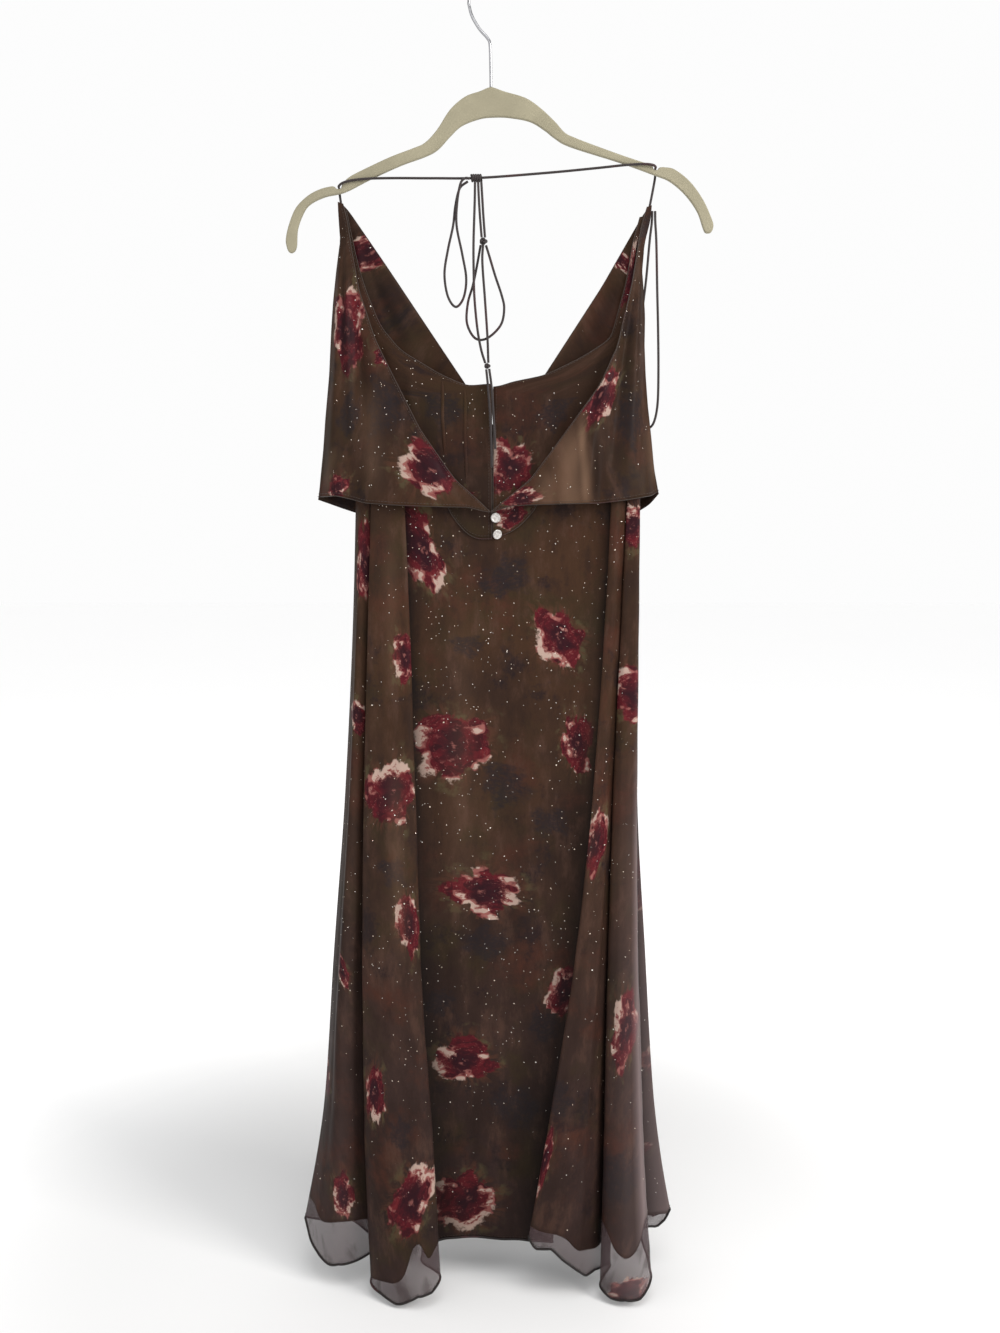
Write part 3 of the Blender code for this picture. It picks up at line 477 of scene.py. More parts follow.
def dress_finish(name, sheer=False):
    n = make_finish(name, Specular_IOR_Level=0.05, Sheen_Weight=0.01,
                    Sheen_Roughness=0.4, Sheen_Tint=(0.95, 0.84, 0.80, 1.0))
    cloth = n.uv("cloth")
    height = n.part(n.place(), 2)
    # Painted light: darker and cooler toward the hem, for the duller, veiled light on the lower skirt.
    ground = n.blend(n.step(height, -0.72, -1.28), GROUND_TOP, GROUND_LOW)
    drift = n.step(n.noise(n.scaled(cloth, 1.0, 0.8), 8.0, 4.0, 0.55), 0.38, 0.66)
    ground = n.blend(n.times(drift, 0.75), ground, GROUND_DARK)
    for shift, scale, detail, rough, low, high, share, patch in GROUND_PATCHES:
        patches = n.step(n.noise(n.vector("ADD", cloth, shift), scale, detail, rough), low, high)
        ground = n.blend(n.times(patches, share), ground, patch)
    brush = n.noise(n.scaled(cloth, 1.0, 0.35), 40.0, 7.0, 0.72)
    ground = n.blend(n.times(n.step(brush, 0.49, 0.68), 0.55), ground, BRUSH_LIGHT)
    ground = n.blend(n.times(n.step(brush, 0.50, 0.32), 0.60), ground, GROUND_DARK)

    rose = n.tree.nodes.new("ShaderNodeGroup")
    rose.node_tree = ROSE_GROUP
    colour = n.blend(n.times(rose.outputs[3], 0.70), ground, SHADOW_FLOWER)
    colour = n.blend(n.times(rose.outputs[2], 0.65), colour, OLIVE)
    colour = n.blend(n.times(rose.outputs[4], 0.60), colour, DRY_BRUSH)
    colour = n.blend(rose.outputs[1], colour, rose.outputs[0])

    # folds: painted shade in the valleys; painted light, a pale glow, where the cloth hangs clear of its
    # lining; a painted satin highlight where the map is below 0
    folds = n.uv("folds")
    valley = n.part(folds)
    pale = n.part(folds, 1)
    colour = n.blend(n.times(n.math("MAXIMUM", pale, 0.0), 0.85), colour, CHIFFON_PAINTED_GLOW)
    satin_highlight = n.math("MAXIMUM", n.times(pale, -1.0), 0.0)
    colour = n.blend(n.times(satin_highlight, 0.80), colour, PAINTED_SATIN_HIGHLIGHT)
    # Painted shade: the valleys go toward near-black.
    colour = n.blend(n.times(valley, 0.72), colour, (0.004, 0.0028, 0.0026))

    fine = glitter_dots(n, cloth, 8.0, 0.36, 0.45)
    bright = glitter_dots(n, n.vector("ADD", cloth, (2.3, 4.1, 0.0)), 24.0, 0.62, 0.45)
    crowd = n.step(n.noise(n.vector("ADD", cloth, (5.5, 8.8, 0.0)), 8.0, 2.0), 0.32, 0.54)
    crowd = n.times(crowd, n.step(height, -1.32, -1.02))
    dots = n.math("MAXIMUM", n.times(n.times(fine, crowd), 0.50), bright)
    colour = n.blend(dots, colour, GLITTER)

    if sheer:
        above = n.part(n.uv("sheer"))
        lined = n.step(above, -0.0007, 0.0007)
        thin = n.minus(1.0, lined)
        plain_part = n.times(thin, n.minus(1.0, n.times(rose.outputs[1], 0.75)))
        colour = n.blend(n.times(plain_part, 0.85), colour, CHIFFON_MAUVE)
        lining_edge = n.times(lined, n.step(above, 0.0050, 0.0015))
        colour = n.blend(n.times(lining_edge, 0.45), colour, GROUND_DARK)
        bunched = n.step(n.noise(n.scaled(cloth, 1.0, 0.45), 42.0, 3.0), 0.50, 0.68)
        colour = n.blend(n.times(n.times(thin, bunched), 0.45), colour, GROUND_LOW)
        wall = n.plus(n.times(bunched, 0.16), SHEER_WALL_ALPHA)
        alpha = n.add("ShaderNodeMix", lined, wall, 1.0, data_type="FLOAT")
        alpha = n.math("MAXIMUM", alpha, n.times(rose.outputs[1], 0.75))
        n.plug(Alpha=alpha)

    rough = n.plus(n.times(n.noise(cloth, 40.0, 3.0), 0.16), 0.38)
    rough = n.minus(rough, n.times(dots, 0.25))
    weave = n.noise(n.scaled(cloth, 1.0, 0.6), 2600.0, 2.0)
    waviness = n.noise(n.scaled(cloth, 1.0, 0.35), 75.0, 3.0)
    normal = n.bump(waviness, 0.35, 0.0012, n.bump(weave, 0.25, 0.0002))
    return n.plug(Base_Color=colour, Roughness=rough, Normal=normal)


DRESS_CLOTH = dress_finish("printed_satin_chiffon")
SKIRT_CLOTH = dress_finish("printed_chiffon_with_sheer_hem", sheer=True)

# %% [markdown]
# ## Materials: lining, string, velvet, wire, buttons, thread and glitter
# The lining is a plain brown satin with a fine upright grain. The string is the printed cloth
# again, so narrow that only its dark and red patches tell, with a fine twist. The hanger is
# flocked: very rough, with short fibres in the bump and sheen at its rounded edges. The hook is
# drawn steel wire. The buttons have the clouded gloss of shell.


# %% Other finishes
def lining_finish():
    n = make_finish("lining_satin", Specular_IOR_Level=0.10, Sheen_Weight=0.04)
    cloth = n.uv("cloth")
    grain = n.noise(n.scaled(cloth, 6.0, 0.4), 300.0, 3.0)
    cloud = n.noise(cloth, 14.0, 3.0)
    colour = n.blend(n.step(cloud, 0.3, 0.7), (0.0190, 0.0125, 0.0105), (0.0260, 0.0165, 0.0135))
    rough = n.plus(n.times(grain, 0.15), 0.42)
    return n.plug(Base_Color=colour, Roughness=rough, Normal=n.bump(grain, 0.2, 0.0003))


def narrow_finish(name, dark, light, red_share, scale, strength):
    # Cord, thread and rolled edge: the cloth again, with patches of the print and a fine twist.
    n = make_finish(name, Specular_IOR_Level=0.2, Sheen_Weight=0.12)
    place = n.place()
    red = n.step(n.noise(place, 25.0, 3.0), 0.58, 0.64)
    colour = n.blend(n.noise(place, 80.0, 2.0), dark, light)
    colour = n.blend(n.times(red, red_share), colour, (0.052, 0.010, 0.012))
    twist = n.noise(n.scaled(place, 1.0, 1.0, 1.6), scale, 2.0)
    rough = n.plus(n.times(twist, 0.2), 0.45)
    return n.plug(Base_Color=colour, Roughness=rough, Normal=n.bump(twist, strength, 0.0003))


def velvet_finish():
    n = make_finish("hanger_velvet", Specular_IOR_Level=0.15, Sheen_Weight=0.25,
                    Sheen_Roughness=0.4, Sheen_Tint=(1.0, 0.97, 0.88, 1.0))
    place = n.place()
    cloud = n.noise(place, 22.0, 4.0)
    fibre = n.noise(n.scaled(place, 1.0, 1.0, 0.7), 1500.0, 3.0, 0.7)
    colour = n.blend(n.step(cloud, 0.3, 0.7), (0.215, 0.195, 0.136), (0.248, 0.225, 0.158))
    colour = n.blend(n.times(n.step(fibre, 0.40, 0.25), 0.4), colour, (0.18, 0.155, 0.100))
    worn = n.step(n.noise(place, 55.0, 3.0), 0.62, 0.75)
    colour = n.blend(n.times(worn, 0.25), colour, (0.34, 0.305, 0.215))
    rough = n.plus(n.times(cloud, 0.1), 0.86)
    return n.plug(Base_Color=colour, Roughness=rough, Normal=n.bump(fibre, 0.55, 0.0005))


def wire_finish():
    n = make_finish("hook_wire", Metallic=1.0)
    place = n.place()
    drawn = n.noise(n.scaled(place, 40.0, 40.0, 3.0), 60.0, 3.0)
    smudge = n.noise(place, 45.0, 3.0)
    colour = n.blend(smudge, (0.27, 0.27, 0.28), (0.36, 0.36, 0.37))
    rough = n.plus(n.times(drawn, 0.16), n.times(smudge, 0.16))
    return n.plug(Base_Color=colour, Roughness=rough, Normal=n.bump(drawn, 0.12, 0.0002))


def shell_finish():
    n = make_finish("button_shell", Coat_Weight=0.5, Coat_Roughness=0.08)
    place = n.place()
    cloud = n.noise(n.scaled(place, 1.0, 1.0, 1.6), 420.0, 3.0)
    colour = n.blend(n.step(cloud, 0.35, 0.65), (0.30, 0.275, 0.26), (0.46, 0.44, 0.42))
    rough = n.plus(n.times(cloud, 0.15), 0.2)
    return n.plug(Base_Color=colour, Roughness=rough, Normal=n.bump(cloud, 0.1, 0.0003))


def flake_finish():
    n = make_finish("glitter_flake", Metallic=0.25)
    place = n.place()
    tint = n.noise(place, 300.0, 1.0)
    colour = n.blend(n.step(tint, 0.42, 0.60), (0.86, 0.80, 0.74), (0.80, 0.66, 0.52))
    return n.plug(Base_Color=colour, Roughness=n.plus(n.times(tint, 0.2), 0.12))


LINING_SATIN = lining_finish()
STRING_CLOTH = narrow_finish("string_cloth", (0.017, 0.013, 0.013), (0.030, 0.022, 0.021), 0.30, 700.0, 0.15)
HANGER_VELVET = velvet_finish()
HOOK_WIRE_METAL = wire_finish()
BUTTON_SHELL = shell_finish()
SEWING_THREAD = narrow_finish("sewing_thread", (0.028, 0.018, 0.014), (0.044, 0.030, 0.023), 0.0, 2500.0, 0.4)
# The skirt's rolled hem: the cloth's own dark edge, made near-black with painted shade along the hem.
ROLLED_EDGE = narrow_finish("rolled_edge", (0.007, 0.005, 0.005), (0.013, 0.009, 0.008), 0.5, 700.0, 0.4)
FINE_EDGE = narrow_finish("fine_edge", (0.020, 0.012, 0.009), (0.034, 0.021, 0.015), 0.4, 900.0, 0.3)
GLITTER_FLAKE = flake_finish()
print(len(bpy.data.materials), "materials")

# %% [markdown]
# ## The skirt's fold tables
# The skirt's back and front are each cut as one flared piece. Hanging flat, each has a few deep
# folds. A row of the table is one line down the cloth, a fold's crest, edge or valley: where it
# lies in X at six heights, how far it stands out in Y at three, and how low its hem hangs.

# %% Skirt tables
WAIST_Z = -506.0
SKIRT_SHARES = (0, 0.17, 0.4, 0.63, 0.82, 1)
SKIRT_DEPTH_SHARES = (0, 0.63, 1)
# name, x at waist, hip, thigh, knee, calf, hem, y at waist, knee, hem, hem height
SKIRT_BACK = (
    ("side_left", -145, -150, -161, -177, -189, -214, -0.8, -0.8, -0.8, -1353),
    ("a_turn", -140, -146, -156, -170, -181, -199, -7, -16, -24, -1364),
    ("a_crest", -133, -140, -149, -160, -167, -171, -10, -26, -42, -1378),
    ("ab_valley", -121, -124, -128, -129, -127, -120, -8, -14, -24, -1364),
    ("b_rise", -127, -132, -138.5, -141.5, -140, -134, -14, -32, -50, -1392),
    ("b_crest", -111, -113, -116, -114, -110, -104, -18, -46, -76, -1403),
    ("b_front", -101, -99, -96, -91, -84, -80, -19, -48, -80, -1397),
    ("b_edge", -93.6, -88, -82, -76, -64.5, -56, -17, -43, -69, -1376),
    ("b_under", -99, -95, -92, -90, -82, -78, -13, -30, -45, -1371),
    ("panel_start", -92, -85, -78, -73, -66, -62, -9, -17, -24, -1362),
    ("panel_left", -50, -48, -45, -40, -38, -34, -9, -14, -20, -1360),
    ("panel_mid", 0, 0, 0, 0, 0, 0, -9, -14, -18, -1361),
    ("panel_right", 70, 66, 58, 46, 34, 28, -9, -14, -20, -1360),
    ("panel_end", 127, 119, 107, 88, 67, 50, -9, -17, -24, -1360),
    ("c_under", 135, 129, 121, 107, 86, 68, -13, -28, -41, -1352),
    ("c_edge", 129, 122.6, 110.5, 91, 66.5, 41, -17, -40, -60, -1337),
    ("c_front", 134, 128, 118, 102, 84, 68, -20, -44, -68, -1348),
    ("c_fall", 139, 133, 124, 112, 101, 92, -18, -40, -64, -1362),
    ("c_low", 144, 138, 130, 124, 119, 115, -14, -30, -48, -1378),
    ("cd_valley", 151, 146, 140, 137, 136, 133, -10, -19, -32, -1384),
    ("d_rise", 146, 140, 132, 127, 124, 120, -15, -33, -58, -1392),
    ("d_crest", 153, 150, 146, 144, 144, 146, -17, -44, -77, -1400),
    ("d_fall", 158, 157, 156, 158, 162, 170, -16, -42, -70, -1390),
    ("d_edge", 158.5, 158.5, 158, 160.5, 165, 175, -9, -26, -44, -1376),
    ("side_turn", 155, 155, 154, 156, 160, 170, -4, -8, -13, -1352),
    ("side_right", 156, 158, 160.5, 172, 183, 204, -0.8, -0.8, -0.8, -1349),
)
SKIRT_FRONT = (
    ("side_left", -145, -150, -161, -177, -189, -214, 0.8, 0.8, 0.8, -1353),
    ("f_turn", -130, -134, -142, -152, -160, -180, 7, 18, 34, -1365),
    ("f_valley_1", -106, -109, -113, -119, -123, -130, 10, 14, 20, -1381),
    ("f_crest_1", -80, -80, -82, -84, -86, -92, 12, 26, 44, -1388),
    ("f_valley_2", -45, -45, -45, -46, -46, -46, 9, 14, 22, -1376),
    ("f_crest_2", 0, 0, 0, 0, 0, 2, 12, 24, 40, -1384),
    ("f_valley_3", 45, 45, 45, 45, 45, 46, 9, 15, 24, -1376),
    ("f_crest_3", 84, 85, 86, 86, 88, 92, 12, 27, 46, -1386),
    ("f_valley_4", 112, 114, 116, 121, 125, 131, 10, 15, 22, -1372),
    ("f_turn_2", 136, 139, 144, 153, 163, 179, 7, 18, 34, -1360),
    ("side_right", 156, 158, 160.5, 172, 183, 204, 0.8, 0.8, 0.8, -1349),
)
# Small ripples of the hem: station, rise in mm.
HEM_RIPPLE_BACK = (
    (0, 7), (0.5, -4), (1.2, -8), (1.7, -4), (2, 0), (2.5, -5), (3, 0), (4, -2), (4.5, 1), (5, 0),
    (5.6, 4), (6, 6), (6.5, -3), (7, 0), (8, 0), (10, 1), (12, -1), (14, 0), (15, 3), (15.4, -7),
    (15.9, 2), (16.4, -4), (17, -8), (17.5, -12), (18, -2), (19, 0), (20.5, -3), (21, 2), (21.6, -3),
    (22, 0), (23.5, 0), (24.2, -3), (24.6, -6), (24.85, 2), (25, 13))
HEM_RIPPLE_FRONT = (
    (0, 7), (0.6, -4), (1.4, 3), (2, -2), (3, 3), (3.5, -4), (4.4, 3), (5, -2), (5.6, 4), (6.5, -3),
    (7, 2), (7.6, -4), (8.4, 2), (9.3, -4), (10, 13))
# Creases of the skirt: station and share of the height where each starts and ends, its half
# width and its height off the cloth, and how far it wanders.
SKIRT_BACK_CREASES = (
    (1.4, 0.1, 1.5, 0.85, 5, 1.3, 2), (2.4, 0.3, 2.5, 1, 4, -1.2, 1), (4.5, 0.08, 4.4, 0.62, 5, 1.2, 2),
    (5.5, 0.2, 5.6, 1, 6, -1.5, 3), (6.4, 0.05, 6.3, 0.75, 4, 1.1, 2), (6.6, 0.62, 6, 1, 7, 2, 2),
    (9.5, 0.12, 9.6, 0.95, 9, -1.6, 4), (10, 0.02, 10.3, 0.55, 12, 1.5, 5),
    (10.4, 0.45, 10.5, 1, 10, -1.6, 5), (10.8, 0.2, 11.1, 0.9, 13, 1.3, 6),
    (11.4, 0, 11.3, 0.5, 12, -1.3, 5), (11.7, 0.38, 11.6, 1, 11, 1.7, 6),
    (12.2, 0.05, 12.3, 0.72, 12, -1.6, 5), (12.6, 0.4, 12.6, 1, 8, 1.5, 3),
    (16.2, 0.1, 16.4, 0.9, 5, -1.1, 2), (17.2, 0.35, 17.1, 1, 5, 1.6, 2), (18.3, 0.55, 18.4, 1, 5, -1.6, 2),
    (20.6, 0.1, 20.7, 0.8, 3, 0.9, 1), (21.5, 0.25, 21.4, 1, 5, -1.4, 2), (22.4, 0.6, 22.6, 1, 6, 1.8, 2))
SKIRT_FRONT_CREASES = (
    (1, 0.1, 1.1, 0.95, 6, 1.6, 2), (1.8, 0.35, 1.7, 1, 8, -1.8, 3), (2.7, 0.05, 2.8, 0.7, 8, 1.3, 4),
    (3.4, 0.28, 3.3, 1, 9, -1.7, 4), (4.2, 0.02, 4.4, 0.6, 10, 1.5, 5), (4.8, 0.4, 4.7, 1, 9, 1.9, 4),
    (5.5, 0.1, 5.6, 0.85, 11, -1.6, 5), (6.3, 0.3, 6.1, 1, 8, 1.7, 4), (7.1, 0.05, 7.2, 0.66, 9, -1.3, 3),
    (7.7, 0.42, 7.5, 1, 8, 2, 3), (8.6, 0.15, 8.7, 0.92, 8, -1.5, 3), (9.2, 0.3, 9.1, 1, 6, 1.4, 2))
# Height in Z at which the lining ends behind the cloth, by station: the cloth below it is sheer.
SHEER_BACK = (
    (0, -1321), (0.6, -1323), (1.2, -1336), (2, -1329), (2.6, -1332), (3, -1342), (3.6, -1372),
    (4, -1388), (4.5, -1384), (5, -1381), (5.5, -1370), (5.8, -1336), (6.2, -1333), (6.4, -1358),
    (6.7, -1341), (7, -1336), (7.5, -1342), (8.5, -1344), (8.8, -1385), (13, -1385), (13.3, -1334),
    (14.6, -1330), (15, -1322), (15.5, -1327), (16, -1328), (16.5, -1334), (17, -1349), (17.5, -1353),
    (18, -1356), (18.6, -1351), (19, -1338), (19.5, -1328), (20, -1319), (20.3, -1325), (20.6, -1347),
    (21, -1354), (21.4, -1351), (21.8, -1334), (22, -1317), (22.6, -1311), (23, -1314), (23.6, -1337),
    (24, -1340), (25, -1341))
SHEER_FRONT = (
    (0, -1321), (1, -1328), (1.8, -1340), (3, -1331), (3.7, -1342), (4.4, -1333), (5.2, -1338),
    (6, -1345), (7, -1330), (8, -1342), (9, -1332), (10, -1341))
# Painted light: how pale the back of the skirt glows by station, where its chiffon hangs clear of the lining,
# and the share of its height where that starts.
LIT_EDGES_BACK = (
    (0, 0.04), (0.6, 0), (1.2, 0), (2, 0.04), (2.8, 0), (20, 0), (20.6, 0.06), (21.1, 0.12), (21.5, 0.14),
    (21.8, 0.4), (22.1, 0.85), (22.5, 0.7), (23, 0.2), (23.6, 0.08), (24.2, 0.45), (24.7, 0.68),
    (25, 0.74))
LIT_EDGES_RISE = ((0, 0), (0.3, 0.1), (0.45, 0.65), (0.75, 0.8), (1, 1))


# %% [markdown]
# ## Cloth as a grid
# Every piece of cloth starts as a grid of points in rows and columns. A skirt's rows are its fold
# stations joined by a Catmull-Rom curve. A flat piece is a Coons patch: four outlines blended, the
# usual way to fill a shape from its edges. Creases are soft troughs and ridges, each given its own
# length, width, depth and wander. Last comes the cloth's own map: metres along the
# weave, so that print and dots keep their true size.

# %% Grid helpers
CORNER_EASING = 3


def grid_normals(grid):
    across = np.gradient(grid, axis=1)
    down = np.gradient(grid, axis=0)
    normal = np.cross(across, down)
    return normal / np.maximum(np.linalg.norm(normal, axis=2, keepdims=True), 1e-9)


def run_across(grid):
    # How far each point lies along its row.
    steps = np.linalg.norm(np.diff(grid, axis=1), axis=2)
    return np.concatenate([np.zeros((len(grid), 1)), np.cumsum(steps, axis=1)], axis=1)


def cloth_map(grid, reference_column, shift):
    # Metres across from a reference column, and metres down.
    across = run_across(grid)
    across = across - across[:, reference_column:reference_column + 1]
    down = -grid[:, :, 2]
    return np.stack([across * MM + shift, down * MM], axis=2)


def fade(share, ends=0.22):
    # 0 at both ends of a run, 1 along its middle.
    edge = np.clip(np.minimum(share, 1.0 - share) / ends, 0.0, 1.0)
    return edge * edge * (3 - 2 * edge)


def skirt_grid(table, rows, step, ripple):
    # Grid points, and the station number of each column.
    shares = np.linspace(0.0, 1.0, rows)
    stations = []
    for row in table:
        x = read_smooth(SKIRT_SHARES, row[1:7], shares)
        y = read_smooth(SKIRT_DEPTH_SHARES, row[7:10], shares)
        stations.append(np.stack([x, y, mix(WAIST_Z, row[10], shares)], axis=1))
    stations = np.array(stations)
    columns, numbers = [], []
    for k, four in enumerate(stretches(stations)):
        hem_width = np.linalg.norm(four[2][-1] - four[1][-1])
        steps = max(4, round(hem_width / step))
        for t in np.arange(steps) / steps:
            columns.append(catmull(*four, t))
            numbers.append(k + t)
    columns.append(stations[-1])
    numbers.append(len(table) - 1)
    grid, numbers = np.stack(columns, axis=1), np.array(numbers, float)
    low = np.clip((shares - 0.90) / 0.10, 0.0, 1.0) ** 2
    grid[:, :, 2] += low[:, None] * read(ripple, numbers)[None, :]
    return grid, numbers, shares


def crease_skirt(grid, numbers, shares, creases, outward):
    # Push each crease along the normal; outward is -1 where the normal points into the dress.
    normal = grid_normals(grid) * outward
    across = run_across(grid)
    push = np.zeros(grid.shape[:2])
    for k, (from_station, top, to_station, low, width, height, wander) in enumerate(creases):
        along = (shares - top) / (low - top)
        station = mix(from_station, to_station, np.clip(along, 0.0, 1.0))
        centre = np.array([np.interp(s, numbers, row) for s, row in zip(station, across)])
        centre = centre + wander * np.sin(along * 5.3 + 1.7 * k)
        open_end = 1.0 if low >= 1.0 else 0.0
        strength = np.where(along < 0.5, fade(along), np.maximum(fade(along), open_end * (along > 0.5)))
        strength = strength * ((along > 0.0) & (along <= 1.001))
        reach = (across - centre[:, None]) / (width * mix(0.7, 1.3, np.clip(along, 0, 1)))[:, None]
        push += height * strength[:, None] * np.exp(-reach ** 2)
    wave = np.sin(across * 0.21 + 2.1 * np.sin(shares * 9.0)[:, None] + shares[:, None] * 13.0)
    push += 0.16 * wave * np.clip(shares * 6.0, 0.0, 1.0)[:, None]
    edge = np.clip(np.minimum(np.arange(grid.shape[1]), np.arange(grid.shape[1])[::-1]) / 6.0, 0.0, 1.0)
    return grid + normal * (push * edge[None, :] * np.clip(shares * 20, 0, 1)[:, None])[:, :, None]


def outline(pairs, count):
    # The straight lines between the points, with their corners eased.
    line = spread([(x, 0.0, z) for x, z in pairs], count)
    for _ in range(CORNER_EASING):
        line[1:-1] = (line[:-2] + 2 * line[1:-1] + line[2:]) / 4
    return line


def coons(top, bottom, left, right, pull=1.0):
    v = (np.linspace(0.0, 1.0, len(left)) ** pull)[:, None, None]
    u = np.linspace(0.0, 1.0, len(top))[None, :, None]
    ends = top[None] * (1 - v) + bottom[None] * v
    sides = left[:, None] * (1 - u) + right[:, None] * u
    corners = (top[0] * (1 - u) + top[-1] * u) * (1 - v) + (bottom[0] * (1 - u) + bottom[-1] * u) * v
    return ends + sides - corners


def along_and_beside(grid, x_top, z_top, x_low, z_low):
    # The share of the way along a line in X and Z, and the distance beside it.
    x, z = grid[:, :, 0] - x_top, grid[:, :, 2] - z_top
    run_x, run_z = x_low - x_top, z_low - z_top
    length = math.hypot(run_x, run_z)
    return (x * run_x + z * run_z) / length ** 2, (x * run_z - z * run_x) / length


def crease_flat(grid, creases, facing):
    # Creases from (x, z) to (x, z), pushed toward the side that faces out.
    push = np.zeros(grid.shape[:2])
    for k, (x_top, z_top, x_low, z_low, width, height, wander) in enumerate(creases):
        along, beside = along_and_beside(grid, x_top, z_top, x_low, z_low)
        beside = beside + wander * np.sin(along * 4.7 + 1.3 * k)
        push += height * fade(along) * np.exp(-(beside / (width * mix(0.6, 1.2, np.clip(along, 0, 1)))) ** 2)
    result = grid.copy()
    result[:, :, 1] += facing * push
    return result


# %% [markdown]
# ## The cut outlines of bodice and flounces
# These are read from the photo as seen from the back: side seams, necklines, flaps and hems, each a
# short list of corners in X and Z. Depth tables give how far each piece stands from the middle plane.

# %% Bodice and flounce tables
BODICE_SIDE_LEFT = (
    (-157.8, -222), (-154.5, -236), (-151.5, -256), (-149.5, -285), (-149, -320), (-148, -370),
    (-147, -430), (-146, -505.4))
BODICE_SIDE_RIGHT = (
    (165, -228), (159.6, -240), (153.6, -260), (150, -290), (152, -325), (153.5, -370), (156, -430),
    (156.5, -505.4))
FRONT_NECK = (
    (-157.8, -222), (-154.8, -223), (-112, -284), (-26.2, -410.3), (-9, -437), (1, -451), (10, -459),
    (19, -452), (29, -441), (57.7, -397.6), (118, -306), (161.6, -231), (165, -228))
BACK_NECK_LEFT = (
    (-152.5, -229), (-147, -256), (-140, -288), (-131.7, -314), (-117.4, -349), (-96.4, -374),
    (-54.3, -399), (-25.7, -411.5), (-9, -409.5), (0.6, -409))
BACK_NECK_RIGHT = (
    (156.6, -236), (149.3, -262), (143, -302), (127, -361.7), (96.1, -381.4), (57, -400.1),
    (19.9, -407.4), (6.1, -413), (2.4, -412))
BACK_TIP_LEFT = ((-156.4, -228), (-152.5, -229))
BACK_TIP_RIGHT = ((161, -235), (156.6, -236))
BACK_LOW_LEFT = (
    (-146, -505.4), (-100, -505.4), (-58, -505.4), (-52.5, -522), (-44, -545), (-34, -558.5), (-25, -568),
    (-14, -573), (0.2, -572.5))
BACK_LOW_RIGHT = (
    (156.5, -505.4), (105, -505.4), (60, -505.4), (55, -520), (47, -541), (33, -556.5), (24, -563.5),
    (12, -569), (1.8, -570.5))
FLOUNCE_OUT_LEFT = (
    (-160.9, -221), (-160.8, -229), (-159.1, -260), (-163.7, -291), (-167.3, -321), (-169.9, -352),
    (-172.7, -399), (-177.6, -446), (-180.2, -478), (-183.9, -510), (-185.6, -527.5))
FLOUNCE_IN_LEFT = (
    (-155.6, -223), (-151.3, -239), (-145.6, -276), (-138.8, -314), (-121.6, -365), (-111.3, -386),
    (-75.1, -458), (-38.4, -510.5), (-14, -532), (-1.3, -544.2))
FLOUNCE_HEM_LEFT = (
    (-185.6, -527.5), (-175, -528), (-164.6, -527), (-143.6, -532), (-133.1, -535), (-96.2, -537.5),
    (-50, -539), (-24.3, -539.2), (-10, -543), (-1.3, -544.2))
FLOUNCE_OUT_RIGHT = (
    (168.7, -224.5), (167.5, -240), (161.9, -262), (159.6, -291), (161.4, -310), (163.4, -337),
    (163.2, -368), (164.7, -399), (167.2, -431), (170.8, -462), (174.3, -494), (178.6, -522))
FLOUNCE_IN_RIGHT = (
    (163.9, -226), (157.8, -246), (148.6, -304), (133, -371), (114.4, -412), (72.6, -469), (41.1, -511),
    (14.6, -532), (-0.4, -544.4))
FLOUNCE_HEM_RIGHT = (
    (178.6, -522), (172.7, -526.5), (144.3, -531.5), (114.8, -535), (72.6, -536), (35, -537),
    (19.9, -538), (9, -541.5), (-0.4, -544.4))
FLOUNCE_FRONT_HEM = (
    (-186.8, -530.5), (-167, -538), (-147.3, -544.7), (-60, -552), (5, -556), (70, -552), (157.2, -544.7),
    (171, -536), (180.4, -524))
FLOUNCE_FRONT_LEFT = FLOUNCE_OUT_LEFT[:-1] + ((-186.8, -530.5),)
FLOUNCE_FRONT_RIGHT = FLOUNCE_OUT_RIGHT[:-1] + ((180.4, -524),)
FLOUNCE_FRONT_NECK = (
    (-160.9, -221), (-156.5, -222), (-112, -285), (-26.2, -412.5), (-9, -439.5), (1, -453.5),
    (10, -461.5), (19, -454.5), (29, -443.5), (57.7, -400), (118, -308.5), (163.9, -226), (168.7, -224.5))
# height, y at the side seam, y away from it
BODICE_BACK_Y = (
    (-219, -1.6, -1.6), (-250, -2.2, -2.6), (-310, -3.3, -4), (-350, -3.4, -5), (-372, -0.8, -5.6),
    (-430, -0.8, -6.6), (-482, -0.8, -8.2), (-503, -0.8, -11), (-512, -0.8, -11.6))
BODICE_FRONT_Y = (
    (-219, 1.6, 1.6), (-250, 1.8, 2.4), (-310, 3.1, 6.4), (-350, 3.1, 9), (-372, 0.8, 10),
    (-430, 0.8, 11), (-504, 0.8, 9))
# x, y at the flounce's hem
FLOUNCE_BACK_WAVES = (
    (-187, -1.5), (-178, -15), (-165, -24), (-149, -17), (-128, -27), (-100, -31), (-70, -29), (-35, -23),
    (0, -19.5), (35, -23), (72, -29), (104, -31), (116, -24), (128, -27), (150, -22), (166, -18),
    (180, -1.5))
FLOUNCE_FRONT_WAVES = (
    (-188, 1.5), (-172, 17), (-140, 24), (-105, 19), (-60, 26), (-20, 20), (25, 27), (70, 20), (110, 26),
    (145, 20), (165, 15), (182, 1.5))
# height, how far the waves have grown, y at the side
FLOUNCE_GROWTH = (
    (-219, 0.05, 4.4), (-240, 0.2, 2.6), (-270, 0.36, 0.75), (-330, 0.55, 0.75), (-400, 0.7, 0.75),
    (-470, 0.85, 0.75), (-530, 1, 0.75))
BACK_SPLIT_Z = -448
FLOUNCE_TIP_Y = 4.4
FLOUNCE_SIDE_TURN = 7
BODICE_SIDE_TURN = 12
